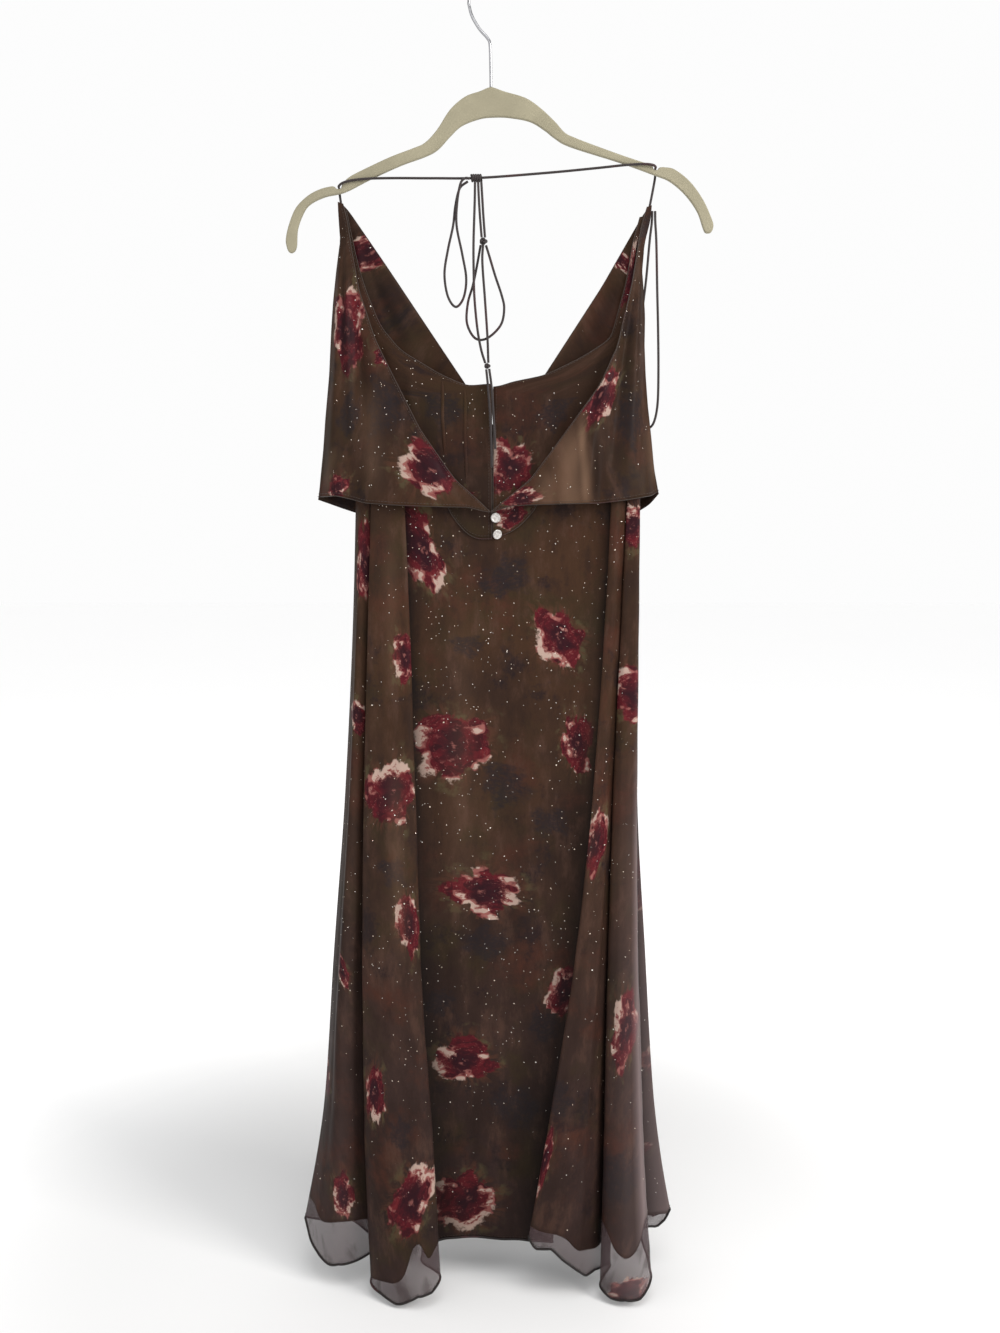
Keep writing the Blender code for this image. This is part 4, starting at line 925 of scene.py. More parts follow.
# Creases: x and z of the start and the end, half width, height toward the outside, wander.
BODICE_FRONT_CREASES = (
    (-155, -226, -150, -340, 2.6, -1, 0.6), (-150, -234, -141, -345, 3, 1.3, 0.8),
    (-144, -246, -128, -350, 3.4, -1.2, 0.8), (-132, -268, -98, -380, 6, 1.2, 1.5),
    (161, -234, 154, -340, 2.6, -1, 0.6), (155, -244, 146, -350, 3.2, 1.3, 0.8),
    (147, -262, 128, -360, 4, -1.3, 1), (128, -300, 90, -400, 7, 1.3, 1.5),
    (-60, -380, -52, -495, 9, 1.5, 2), (66, -396, 56, -498, 9, 1.4, 2), (12, -462, 14, -502, 7, -1.2, 1))
BODICE_BACK_CREASES = (
    (-140, -290, -132, -480, 4, 1.2, 1), (-120, -352, -104, -498, 7, -1, 1.5),
    (-88, -382, -80, -500, 6, 1.2, 1.2), (-16, -412, -12, -560, 6, -0.9, 1.2),
    (-34, -500, -24, -566, 6, 1.1, 1), (142, -300, 138, -482, 4, 1.2, 1),
    (118, -372, 104, -500, 7, -1.1, 1.5), (78, -392, 70, -500, 7, 1.2, 1.5), (36, -404, 30, -500, 6, -1, 1),
    (18, -490, 22, -560, 5, 1, 0.8))
FLOUNCE_BACK_CREASES = (
    (-158, -242, -173, -526, 4.5, 2.2, 1.5), (-156.5, -240, -158, -532, 4.5, -2.6, 1.2),
    (-154.5, -246, -146, -534, 5, 1.6, 1.5), (-149, -268, -126, -536, 7, -1.8, 2),
    (-138, -318, -102, -538, 9, 1.8, 3), (-118, -372, -76, -539, 8, -1.4, 2.5),
    (-92, -430, -46, -539, 8, 1.2, 2), (-60, -484, -26, -540, 5, -0.8, 1),
    (165, -246, 172, -522, 4, 2.2, 1.2), (162, -246, 160, -528, 4.5, -2.4, 1.4),
    (158, -252, 146, -530, 5, 1.7, 1.5), (153, -276, 126, -533, 6, -2.4, 2),
    (150, -312, 122, -536, 8, -3, 2), (124, -392, 96, -530, 8.5, 5.5, 2), (110, -420, 76, -536, 8, -2, 2),
    (104, -430, 56, -537, 8, 1.3, 2), (70, -478, 30, -539, 5, -0.8, 1))
FLOUNCE_FRONT_CREASES = (
    (-158, -240, -172, -530, 4.5, 2, 1.5), (-152, -250, -150, -542, 6, -2.2, 2),
    (-138, -270, -118, -548, 8, 2, 2.5), (-112, -310, -86, -550, 9, -1.8, 2.5),
    (-80, -350, -52, -552, 10, 1.9, 3), (-44, -400, -30, -554, 9, -1.6, 2.5),
    (-14, -440, -2, -556, 8, 1.6, 2), (26, -452, 28, -555, 8, -1.5, 2), (54, -412, 58, -553, 9, 1.8, 2.5),
    (84, -366, 92, -550, 9, -1.7, 2.5), (116, -320, 122, -548, 8, 2.1, 2.5),
    (142, -276, 150, -544, 7, -2, 2), (160, -246, 170, -530, 4.5, 2, 1.2))


# %% Bodice and flounce grids
def side_reach(grid, side_lines):
    x, z = grid[:, :, 0], grid[:, :, 2]
    reaches = [np.abs(x - read([(height, place) for place, height in side], z)) for side in side_lines]
    return np.minimum(*reaches)


def shape_bodice(grid, table):
    z = grid[:, :, 2]
    turn = np.exp(-side_reach(grid, (BODICE_SIDE_LEFT, BODICE_SIDE_RIGHT)) / BODICE_SIDE_TURN)
    grid[:, :, 1] = mix(read(table, z, 2), read(table, z, 1), turn)
    return grid


def wave_flounce(grid, waves, facing):
    # Folds grow toward the hem, and the outer edges stay by the side seam.
    x, z = grid[:, :, 0], grid[:, :, 2]
    grown = read(FLOUNCE_GROWTH, z, 1)
    at_side = facing * read(FLOUNCE_GROWTH, z, 2)
    xs, ys = zip(*waves)
    wave = read_smooth(xs, ys, np.clip(x / mix(0.87, 1.0, grown), xs[0], xs[-1]))
    away = mix(facing * FLOUNCE_TIP_Y, wave, grown)
    turn = np.exp(-side_reach(grid, (FLOUNCE_FRONT_LEFT, FLOUNCE_FRONT_RIGHT)) / FLOUNCE_SIDE_TURN)
    grid[:, :, 1] = mix(away, at_side, turn)
    return grid


def back_half(tip, side, neck, low, columns=56, rows=85, corner=55):
    # The neckline and the slit are one edge with a corner; so are the upper and lower side seam.
    split = (side[-2][0], BACK_SPLIT_Z)
    left = np.concatenate([outline((tip[0],) + side[1:-1] + (split,), corner),
                           outline((split, side[-1]), rows - corner + 1)[1:]])
    right = np.concatenate([outline(neck, corner), outline((neck[-1], low[-1]), rows - corner + 1)[1:]])
    return coons(outline(tip, columns), outline(low, columns), left, right, pull=3.0)


front_waist = outline((BODICE_SIDE_LEFT[-1], BODICE_SIDE_RIGHT[-1]), 120)
bodice_front_grid = coons(outline(FRONT_NECK, 120), front_waist,
                          outline(BODICE_SIDE_LEFT, 64), outline(BODICE_SIDE_RIGHT, 64))
bodice_front_grid = crease_flat(shape_bodice(bodice_front_grid, BODICE_FRONT_Y), BODICE_FRONT_CREASES, 1)
back_left_grid = back_half(BACK_TIP_LEFT, BODICE_SIDE_LEFT, BACK_NECK_LEFT, BACK_LOW_LEFT)
back_left_grid = crease_flat(shape_bodice(back_left_grid, BODICE_BACK_Y), BODICE_BACK_CREASES, -1)
back_right_grid = back_half(BACK_TIP_RIGHT, BODICE_SIDE_RIGHT, BACK_NECK_RIGHT, BACK_LOW_RIGHT)
back_right_grid = crease_flat(shape_bodice(back_right_grid, BODICE_BACK_Y), BODICE_BACK_CREASES, -1)


def flounce_half(out_edge, in_edge, hem):
    top = outline((out_edge[0], in_edge[0]), 84)
    grid = coons(top, outline(hem, 84), outline(out_edge, 96), outline(in_edge, 96))
    return crease_flat(wave_flounce(grid, FLOUNCE_BACK_WAVES, -1), FLOUNCE_BACK_CREASES, -1)


flounce_left_grid = flounce_half(FLOUNCE_OUT_LEFT, FLOUNCE_IN_LEFT, FLOUNCE_HEM_LEFT)
flounce_right_grid = flounce_half(FLOUNCE_OUT_RIGHT, FLOUNCE_IN_RIGHT, FLOUNCE_HEM_RIGHT)
flounce_front_grid = coons(outline(FLOUNCE_FRONT_NECK, 150), outline(FLOUNCE_FRONT_HEM, 150),
                           outline(FLOUNCE_FRONT_LEFT, 70), outline(FLOUNCE_FRONT_RIGHT, 70))
flounce_front_grid = wave_flounce(flounce_front_grid, FLOUNCE_FRONT_WAVES, 1)
flounce_front_grid = crease_flat(flounce_front_grid, FLOUNCE_FRONT_CREASES, 1)

skirt_back_grid, back_numbers, back_shares = skirt_grid(SKIRT_BACK, 170, 3.4, HEM_RIPPLE_BACK)
skirt_back_grid = crease_skirt(skirt_back_grid, back_numbers, back_shares, SKIRT_BACK_CREASES, -1)
skirt_front_grid, front_numbers, front_shares = skirt_grid(SKIRT_FRONT, 140, 4.2, HEM_RIPPLE_FRONT)
skirt_front_grid = crease_skirt(skirt_front_grid, front_numbers, front_shares, SKIRT_FRONT_CREASES, 1)
for name, grid in (("skirt back", skirt_back_grid), ("skirt front", skirt_front_grid)):
    print(name, "grid", grid.shape, "hem", round(length_of(grid[-1])), "mm")

# %% [markdown]
# ## Lining
# Inside the skirt hangs one plain tube. Its side seams are a little inside the skirt's, and it
# ends above the hem. It has soft folds of its own, shallower than the skirt's.

# %% Lining grid
LINING_SIDE_INSET = 13.0
LINING_HEM_Z = -1322.0
LINING_DEPTHS = (
    (-506, 6.4), (-545, 5), (-650, 4.8), (-850, 5.4), (-1050, 6.4), (-1200, 7.4), (-1322, 8.6))
LINING_FOLDS = 9


def lining_grid(rows, half_columns):
    z = np.linspace(WAIST_Z - 0.1, LINING_HEM_Z, rows)
    share = (WAIST_Z - z) / (WAIST_Z - SKIRT_BACK[0][10])
    left = read_smooth(SKIRT_SHARES, SKIRT_BACK[0][1:7], share) + LINING_SIDE_INSET
    right = read_smooth(SKIRT_SHARES, SKIRT_BACK[-1][1:7], share) - LINING_SIDE_INSET
    depth = read(LINING_DEPTHS, z)
    turn = np.pi * np.arange(2 * half_columns) / half_columns
    bulge = np.sign(np.sin(turn)) * np.abs(np.sin(turn)) ** 0.7
    x = mix(left[:, None], right[:, None], 0.5 - 0.5 * np.cos(turn)[None, :])
    y = -depth[:, None] * bulge[None, :]
    fold = np.sin(turn * LINING_FOLDS + 1.2 * np.sin(turn * 2)) * np.sin(turn) ** 2
    y = y + 1.3 * fold[None, :] * share[:, None]
    low = z[:, None] + 4.0 * share[:, None] ** 6 * np.sin(turn * 5 + 0.7)[None, :]
    return np.stack([x, y, low], axis=2)


lining = lining_grid(90, 96)

# %% [markdown]
# ## Where the roses fall
# The print is laid out on the cloth itself. Each row below pins one rose to a piece, at a place in
# X and Z on the side that is seen, and gives its width and height, its tilt, and the side its pale
# tips lie on. The helper finds that point on the folded cloth and turns it into metres of cloth.
# Hidden sides get roses of the same kinds, scattered with a fixed seed and kept apart.

# %% Print layout
# piece: x, z, width, height, tilt in degrees, pale side in degrees
ROSES = {
    "bodice_front": (
        (-129, -276, 50, 62, 20, -60), (124, -280, 26, 44, -30, 200)),
    "flounce_back_left": (
        (-155, -350, 50, 100, -8, 100), (-169, -520, 30, 40, 0, 230), (-58, -498, 104, 66, 32, 215),
        (-114, -374, 26, 22, 0, 0)),
    "flounce_back_right": (
        (116, -424, 34, 90, -28, 100), (32, -526, 54, 28, 10, 250)),
    "bodice_back_right": (
        (24, -492, 62, 72, 15, 60), (24, -554, 44, 32, 15, 40)),
    "bodice_back_left": ((-26, -530, 34, 24, 0, 180),),
    "skirt_back": (
        (-72, -582, 52, 112, -24, -90), (-136, -592, 30, 104, 5, -80), (-98, -700, 34, 70, 0, 200),
        (-146, -762, 30, 44, 0, 150), (-48, -797, 92, 98, 0, 240), (-110, -842, 62, 96, 24, 110),
        (-13, -962, 98, 68, 5, -10), (-90, -988, 34, 78, 5, 160), (-170, -1046, 20, 44, -10, 200),
        (-27, -1153, 78, 66, 10, 220), (-132, -1176, 34, 80, 8, -60), (-88, -1288, 58, 108, 34, 60),
        (-24, -1314, 84, 74, -10, -110), (-156, -1300, 32, 60, 8, -90), (78, -676, 60, 84, -32, 170),
        (93, -794, 42, 76, 0, 190), (117, -900, 36, 84, 8, 100), (77, -1070, 48, 78, 15, 170),
        (146, -1102, 40, 104, 0, 170), (146, -560, 42, 60, 0, 80), (54, -1250, 18, 84, 6, 180),
        (146, -1402, 84, 70, 0, 90)),
}
# piece: x, z, width, height, tilt of its shadow flowers
SHADOW_FLOWERS = {
    "skirt_back": (
        (15, -836, 74, 58, 10), (-14, -1016, 66, 52, 0), (32, -1206, 72, 70, 30), (-100, -1212, 36, 50, 0),
        (56, -1108, 48, 52, 0), (18, -612, 64, 50, -10), (-112, -930, 40, 44, 0), (64, -884, 54, 46, 20),
        (-52, -1086, 48, 40, 0), (70, -1180, 44, 52, 0), (-20, -690, 46, 34, 0)),
    "flounce_back_left": (
        (-112, -430, 60, 66, 20), (-148, -440, 34, 60, 0)),
    "flounce_back_right": ((148, -440, 44, 70, 0),),
    "bodice_back_left": ((-52, -430, 60, 46, 0),),
    "bodice_back_right": ((62, -440, 46, 40, 0),),
}
# scattered flowers: tries to a square metre, metres apart, seed
SCATTER_TRIES = 900
SCATTER_SPACING = 0.118
SCATTER_SEED = 41


def pin_to_cloth(grid, cloth, x, z):
    # The point of the cloth that is seen at (x, z) from the back: the nearest to the viewer.
    near = np.abs(grid[:, :, 0] - x) + np.abs(grid[:, :, 2] - z)
    candidates = near < near.min() + 5.0
    depth = np.where(candidates, grid[:, :, 1], np.inf)
    return cloth[np.unravel_index(np.argmin(depth), depth.shape)]


def layout(name, grid, cloth, seed):
    # Rows of: u, v, half width, half height, tilt, tag number, pale side.
    rows = []
    flowers = [(*row, 1.0 + 0.73 * k + 0.31 * (seed % 7)) for k, row in enumerate(ROSES.get(name, ()))]
    flowers += [(*row, 0, SHADOW_TAG + 0.61 * k) for k, row in enumerate(SHADOW_FLOWERS.get(name, ()))]
    for x, z, width, height, tilt, pale, tag in flowers:
        u, v = pin_to_cloth(grid, cloth, x, z)
        rows.append((u, v, width / 2 * MM, height / 2 * MM, math.radians(tilt), tag, math.radians(pale)))
    pinned = len(rows)
    chance = random.Random(seed)
    low, high = cloth.min(axis=(0, 1)), cloth.max(axis=(0, 1))
    for _ in range(int(SCATTER_TRIES * (high - low).prod())):
        u, v = chance.uniform(low[0], high[0]), chance.uniform(low[1], high[1])
        half = chance.uniform(0.026, 0.046)
        shadow = chance.random() < 0.35
        clear = all(math.hypot(u - r[0], v - r[1]) > SCATTER_SPACING * 0.5 + max(r[2], r[3]) for r in rows)
        pinned_near = any(math.hypot(u - r[0], v - r[1]) < SCATTER_SPACING * 1.1 for r in rows[:pinned])
        if clear and not pinned_near:
            tag = (SHADOW_TAG if shadow else 9.0) + 0.27 * len(rows)
            rows.append((u, v, half, half * chance.uniform(0.75, 1.1), chance.uniform(0, 6.28),
                         tag, chance.uniform(0, 6.28)))
    return rows


# %% [markdown]
# ## From grid to thin cloth
# A grid becomes a closed shell 0.6 mm thick: the points are moved out and in by half of that, and
# the edges are joined. Its maps are written straight into UV layers: the cloth in metres, the place
# inside the nearest rose, that rose's tag, the height above the sheer band's edge, and the painted
# shade and painted light of the folds.

# %% Cloth shells
SHELL_THICKNESS = 0.6


def add_uv(mesh, name, values):
    layer = mesh.uv_layers.new(name=name)
    layer.uv.foreach_set("vector", np.ascontiguousarray(values, dtype=np.float32).ravel())


def grid_quads(rows, columns, outward, closed=False):
    # Point numbers of a grid, and the faces between neighbours, wound so that they face out.
    index = np.arange(rows * columns).reshape(rows, columns)
    right = np.roll(index, -1, axis=1) if closed else index[:, 1:]
    left = index if closed else index[:, :-1]
    quads = np.stack([left[:-1], right[:-1], right[1:], left[1:]], axis=2).reshape(-1, 4)
    return index, quads[:, ::-1] if outward < 0 else quads


def inside_flower(place, flower):
    # Where a place on the cloth lies in a flower, in the flower's half width and half height.
    away_x, away_y = place[..., 0] - flower[..., 0], place[..., 1] - flower[..., 1]
    cos, sin = np.cos(flower[..., 4]), np.sin(flower[..., 4])
    return (away_x * cos + away_y * sin) / flower[..., 2], (away_x * sin - away_y * cos) / flower[..., 3]


def cloth_shell(name, grid, cloth, roses, material, outward, above=None, closed=False, folds=None):
    rows, columns = grid.shape[:2]
    if closed:
        wrapped = np.concatenate([grid[:, -1:], grid, grid[:, :1]], axis=1)
        normal = grid_normals(wrapped)[:, 1:-1]
    else:
        normal = grid_normals(grid)
    normal = normal * outward
    outer = (grid + normal * SHELL_THICKNESS / 2).reshape(-1, 3)
    inner = (grid - normal * SHELL_THICKNESS / 2).reshape(-1, 3)
    count = rows * columns
    index, quads = grid_quads(rows, columns, outward, closed)
    faces = [quads, quads[:, ::-1] + count]
    borders = [index[0], index[-1]] if closed else [index[0], index[-1], index[:, 0], index[:, -1]]
    signs = (1, -1) if closed else (1, -1, -1, 1)
    for line, sign in zip(borders, signs):
        start, stop = (line, np.roll(line, -1)) if closed else (line[:-1], line[1:])
        strip = np.stack([start, stop, stop + count, start + count], axis=1)
        faces.append(strip[:, ::-1] if sign * outward > 0 else strip)
    faces = np.concatenate(faces)
    mesh = bpy.data.meshes.new(name)
    mesh.vertices.add(2 * count)
    mesh.vertices.foreach_set("co", (np.concatenate([outer, inner]) * MM).astype(np.float32).ravel())
    mesh.loops.add(faces.size)
    mesh.loops.foreach_set("vertex_index", faces.astype(np.int32).ravel())
    mesh.polygons.add(len(faces))
    mesh.polygons.foreach_set("loop_start", np.arange(0, faces.size, 4, dtype=np.int32))
    mesh.update(calc_edges=True)
    mesh.validate()

    corner = cloth.reshape(-1, 2)[faces.ravel() % count].reshape(-1, 4, 2)
    if closed:
        width = np.ptp(cloth[:, :, 0])
        wide = np.ptp(corner[:, :, 0], axis=1) > width / 2
        corner[wide] = np.where(corner[wide] < corner[wide].mean(axis=1, keepdims=True),
                                corner[wide] + np.array([width, 0.0]), corner[wide])
    add_uv(mesh, "cloth", corner)
    if roses:
        table = np.array(roses)
        far = np.hypot(*inside_flower(corner.mean(axis=1)[:, None], table[None]))
        nearest = table[np.argmin(far, axis=1)][:, None]
        add_uv(mesh, "rose", np.stack(inside_flower(corner, nearest), axis=2))
        add_uv(mesh, "tag", np.repeat(nearest[..., 5:7], 4, axis=1))
    if above is not None:
        height = above.reshape(-1)[faces.ravel() % count]
        add_uv(mesh, "sheer", np.stack([height, np.zeros_like(height)], axis=1))
    # The folds map: painted shade from the valleys and dark strokes, and painted light from lit edges and
    # highlights.
    if folds:
        both = np.stack([np.maximum(valley_map(grid, outward), folds[0]), folds[1]], axis=2)
        add_uv(mesh, "folds", both.reshape(-1, 2)[faces.ravel() % count])
    return add_piece(name, mesh, material)


def height_above_sheer(grid, numbers, table):
    # How far each point lies above the end of the lining, in metres.
    edge = read(table, numbers)
    for _ in range(2):
        edge[1:-1] = (edge[:-2] + 2 * edge[1:-1] + edge[2:]) / 4
    return (grid[:, :, 2] - edge[None, :]) * MM


VALLEY_REACH = 60.0


def valley_map(grid, outward):
    # From 0 in the open to 1 deep in a fold: how much of the side it faces is hidden from a point
    # by the other points of its own row. The cloth's colour turns it into painted shade.
    hidden = np.zeros(grid.shape[:2])
    for r, row in enumerate(grid):
        across = row[None, :, 0] - row[:, None, 0]
        ahead = 0.8 * (row[None, :, 1] - row[:, None, 1]) * outward
        near = (ahead > 0.3) & (np.abs(across) < VALLEY_REACH)
        rise = np.where(near, np.arctan2(ahead, np.abs(across) + 0.4), 0.0)
        left = np.where(across < 0, rise, 0.0).max(axis=1)
        right = np.where(across > 0, rise, 0.0).max(axis=1)
        hidden[r] = 1.0 - (np.cos(left) + np.cos(right)) / 2
    smooth = hidden.copy()
    smooth[1:-1] = (hidden[:-2] + 2 * hidden[1:-1] + hidden[2:]) / 4
    return np.clip((smooth - 0.06) / 0.44, 0.0, 1.0)


def lit_edges_map(numbers, shares):
    # Painted light on the skirt's back: the pale glow of its edges, by station and by height.
    return read(LIT_EDGES_RISE, shares)[:, None] * read(LIT_EDGES_BACK, numbers)[None, :]


# Painted highlights on crests and satin, and painted shade in valleys and under folds. piece: x and z of the
# start and the end of a stroke, half width, strength, below 0 where it darkens as painted shade
LIGHT_AND_SHADE_STROKES = {
    "flounce_front": (
        (-140, -270, -122, -548, 9, -0.45), (-84, -350, -58, -552, 10, -0.4),
        (-16, -440, -4, -556, 9, -0.4), (56, -412, 60, -552, 10, -0.4), (118, -320, 126, -546, 9, -0.45),
        (-112, -310, -88, -550, 8, 0.2), (28, -460, 30, -554, 8, 0.2), (90, -370, 96, -550, 8, 0.2)),
    "skirt_front": (
        (-109, -600, -128, -1375, 12, -0.5), (-45, -560, -46, -1372, 14, -0.5),
        (45, -560, 46, -1372, 14, -0.5), (114, -600, 130, -1370, 12, -0.5),
        (-82, -640, -90, -1380, 9, 0.22), (0, -600, 2, -1380, 10, 0.22), (86, -640, 92, -1380, 9, 0.22),
        (-148, -700, -178, -1360, 7, 0.2), (146, -700, 176, -1360, 7, 0.2)),
    "skirt_back": (
        (-152, -620, -188, -1330, 11, -0.55), (-104, -780, -98, -1060, 9, 0.2),
        (-108, -540, -106, -760, 8, 0.14), (118, -560, 102, -1000, 7, 0.12),
        (-36, -600, -30, -1000, 16, 0.1), (30, -640, 20, -1180, 18, -0.22)),
    "flounce_back_right": (
        (94, -436, 101, -556, 5, 0.9), (86, -440, 82, -580, 16, 0.55), (64, -490, 56, -570, 12, 0.4),
        (168, -440, 176, -520, 6, 0.3), (106, -430, 114, -560, 5, -0.8), (149, -300, 138, -536, 9, -0.4)),
    "flounce_back_left": (
        (-130, -400, -122, -532, 10, 0.25), (-166, -470, -178, -526, 5, 0.25),
        (-156.5, -262, -146, -536, 5, -0.6), (-106, -420, -90, -536, 8, -0.3)),
    "bodice_front": (
        (-122, -262, -62, -358, 4, 0.25), (-136, -270, -78, -388, 9, -0.8), (112, -306, 56, -396, 6, 0.3),
        (144, -284, 98, -384, 11, -0.8)),
}
# how much a whole kind of piece is darkened, where it lies in shade
PIECE_SHADE = {"bodice": 0.28, "flounce": 0.14}


def painted_light_and_shade(name, grid):
    # The painted highlights and the painted shade, each from 0 to 1; the shade starts from the piece's own
    # darkening.
    strength = np.zeros((2, *grid.shape[:2]))
    strength[1] = PIECE_SHADE.get(name.split("_")[0], 0.0)
    for x_top, z_top, x_low, z_low, width, most in LIGHT_AND_SHADE_STROKES.get(name, ()):
        along, beside = along_and_beside(grid, x_top, z_top, x_low, z_low)
        kind = 0 if most > 0 else 1
        shape = abs(most) * fade(along, 0.35) * np.exp(-(beside / width) ** 2)
        strength[kind] = np.maximum(strength[kind], shape)
    return strength


middle_back = int(np.argmin(np.abs(back_numbers - 11)))
middle_front = int(np.argmin(np.abs(front_numbers - 5)))
# piece, grid, reference column, shift of its cloth map, material, outward sign, seed
CLOTH_PIECES = (
    ("skirt_back", skirt_back_grid, middle_back, 0.0, SKIRT_CLOTH, -1, 11),
    ("skirt_front", skirt_front_grid, middle_front, 2.0, SKIRT_CLOTH, 1, 12),
    ("bodice_front", bodice_front_grid, 60, 4.0, DRESS_CLOTH, 1, 13),
    ("bodice_back_left", back_left_grid, 55, 6.0, DRESS_CLOTH, -1, 14),
    ("bodice_back_right", back_right_grid, 55, 8.0, DRESS_CLOTH, 1, 15),
    ("flounce_back_left", flounce_left_grid, 0, 10.0, DRESS_CLOTH, -1, 16),
    ("flounce_back_right", flounce_right_grid, 0, 12.0, DRESS_CLOTH, 1, 17),
    ("flounce_front", flounce_front_grid, 75, 14.0, DRESS_CLOTH, 1, 18),
)
SHEER_TABLES = {"skirt_back": (back_numbers, SHEER_BACK), "skirt_front": (front_numbers, SHEER_FRONT)}
shells = {}
for name, grid, column, shift, material, outward, seed in CLOTH_PIECES:
    cloth = cloth_map(grid, column, shift)
    roses = layout(name, grid, cloth, seed + SCATTER_SEED)
    above = None
    if name in SHEER_TABLES:
        above = height_above_sheer(grid, *SHEER_TABLES[name])
    # Painted highlights go in as negative paleness, painted shade as the first map; the skirt's back adds its
    # painted glow of lit edges.
    light, dark = painted_light_and_shade(name, grid)
    pale = (lit_edges_map(back_numbers, back_shares) if name == "skirt_back" else 0.0) - light
    shells[name] = cloth_shell(name + "_cloth", grid, cloth, roses, material, outward, above,
                               folds=(dark, pale))
    print(name, len(roses), "prints,", len(shells[name].data.polygons), "faces")
shells["skirt_lining"] = cloth_shell("skirt_lining_cloth", lining, cloth_map(lining, 0, 16.0), [],
                                     LINING_SATIN, -1, closed=True)

# %% [markdown]
# ## Geometry Nodes for what repeats
# Three small trees serve the whole dress. The first sweeps a round section along an edge, which is
# a rolled hem. The second sets stitches along a line: short bars at an even pitch. The third
# scatters glitter flakes over a cloth: hexagons a fraction of a millimetre across, each tilted a
# little, so that they catch the light one by one. Each tree ends in Realize Instances and Set
# Material, and its result is kept as a plain mesh.


# %% Node trees for edges, stitches and glitter
SOCKET_KINDS = {"Geometry": "NodeSocketGeometry", "Finish": "NodeSocketMaterial", "Seed": "NodeSocketInt"}


def new_tree(name, *labels):
    # A geometry tree that takes a mesh, a number for each label, and a finish.
    tree = bpy.data.node_groups.new(name, "GeometryNodeTree")
    for label in ("Geometry", *labels, "Finish"):
        kind = SOCKET_KINDS.get(label, "NodeSocketFloat")
        tree.interface.new_socket(label, in_out="INPUT", socket_type=kind)
    tree.interface.new_socket("Geometry", in_out="OUTPUT", socket_type="NodeSocketGeometry")
    return Shader(tree), tree.nodes.new("NodeGroupInput").outputs


def close_tree(n, geometry, finish):
    realized = n.add("GeometryNodeRealizeInstances", geometry)
    finished = n.add("GeometryNodeSetMaterial", realized, None, finish)
    smooth = n.add("GeometryNodeSetShadeSmooth", finished)
    n.tree.links.new(smooth, n.tree.nodes.new("NodeGroupOutput").inputs[0])
    return n.tree


def rolled_edge_tree():
    n, given = new_tree("rolled_edge", "Radius")
    path = n.add("GeometryNodeMeshToCurve", given["Geometry"])
    section = n.named("GeometryNodeCurvePrimitiveCircle", Resolution=8, Radius=given["Radius"])
    swept = n.named("GeometryNodeCurveToMesh", Curve=path, Profile_Curve=section.outputs[0], Fill_Caps=True)
    return close_tree(n, swept.outputs[0], given["Finish"])


def stitch_tree():
    n, given = new_tree("stitch_line", "Pitch", "Length", "Radius")
    path = n.add("GeometryNodeMeshToCurve", given["Geometry"])
    places = n.named("GeometryNodeCurveToPoints", "mode", "LENGTH", Curve=path, Length=given["Pitch"])
    bar = n.named("GeometryNodeMeshCylinder", Vertices=6, Radius=given["Radius"], Depth=given["Length"])
    stitches = n.named("GeometryNodeInstanceOnPoints", Points=places.outputs["Points"],
                       Instance=bar.outputs["Mesh"], Rotation=places.outputs["Rotation"])
    return close_tree(n, stitches.outputs[0], given["Finish"])


def glitter_tree():
    n, given = new_tree("glitter_scatter", "Density", "Radius", "Lift", "Seed")
    height = n.part(n.add("GeometryNodeInputPosition"), 2)
    crowd = n.plus(n.times(n.step(n.noise(None, 13.0, 2.0), 0.30, 0.60), 0.65), 0.25)
    crowd = n.times(crowd, n.step(height, -1.38, -0.98))
    density = n.times(n.plus(crowd, 0.08), given["Density"])
    dots = n.named("GeometryNodeDistributePointsOnFaces", Mesh=given["Geometry"], Density=density,
                   Seed=given["Seed"])
    lift = n.named("ShaderNodeVectorMath", "operation", "SCALE",
                   Vector=dots.outputs["Normal"], Scale=given["Lift"])
    lifted = n.named("GeometryNodeSetPosition", Geometry=dots.outputs["Points"], Offset=lift.outputs[0])
    flake = n.named("GeometryNodeMeshCircle", "fill_type", "NGON", Vertices=6, Radius=given["Radius"])
    tilt = n.add("FunctionNodeRandomValue", (-0.30, -0.30, 0.0), (0.30, 0.30, 3.1), None, given["Seed"],
                 data_type="FLOAT_VECTOR")
    turned = n.named("FunctionNodeRotateRotation", "rotation_space", "LOCAL",
                     Rotation=dots.outputs["Rotation"], Rotate_By=tilt)
    size = n.add("FunctionNodeRandomValue", 0.55, 1.45, None, given["Seed"], data_type="FLOAT")
    placed = n.named("GeometryNodeInstanceOnPoints", Points=lifted.outputs[0],
                     Instance=flake.outputs["Mesh"], Rotation=turned.outputs[0], Scale=size)
    return close_tree(n, placed.outputs[0], given["Finish"])


ROLLED_EDGE_TREE = rolled_edge_tree()
STITCH_TREE = stitch_tree()
GLITTER_TREE = glitter_tree()


# %% Running a node tree on a mesh
def run_tree(name, source, tree, **values):
    # The tree's result as a plain mesh of its own.
    modifier = source.modifiers.new("shape", "NODES")
    modifier.node_group = tree
    for item in tree.interface.items_tree:
        if item.in_out == "INPUT" and item.name in values:
            modifier[item.identifier] = values[item.name]
    mesh = plain_mesh_of(source)
    mesh.name = name
    return add_piece(name, mesh)


def path_object(name, lines):
    # Loose edges along each line of points.
    verts, edges = [], []
    for line in lines:
        start = len(verts)
        verts += [tuple(point * MM) for point in line]
        edges += [(start + k, start + k + 1) for k in range(len(line) - 1)]
    mesh = bpy.data.meshes.new(name)
    mesh.from_pydata(verts, edges, [])
    return add_piece(name, mesh)


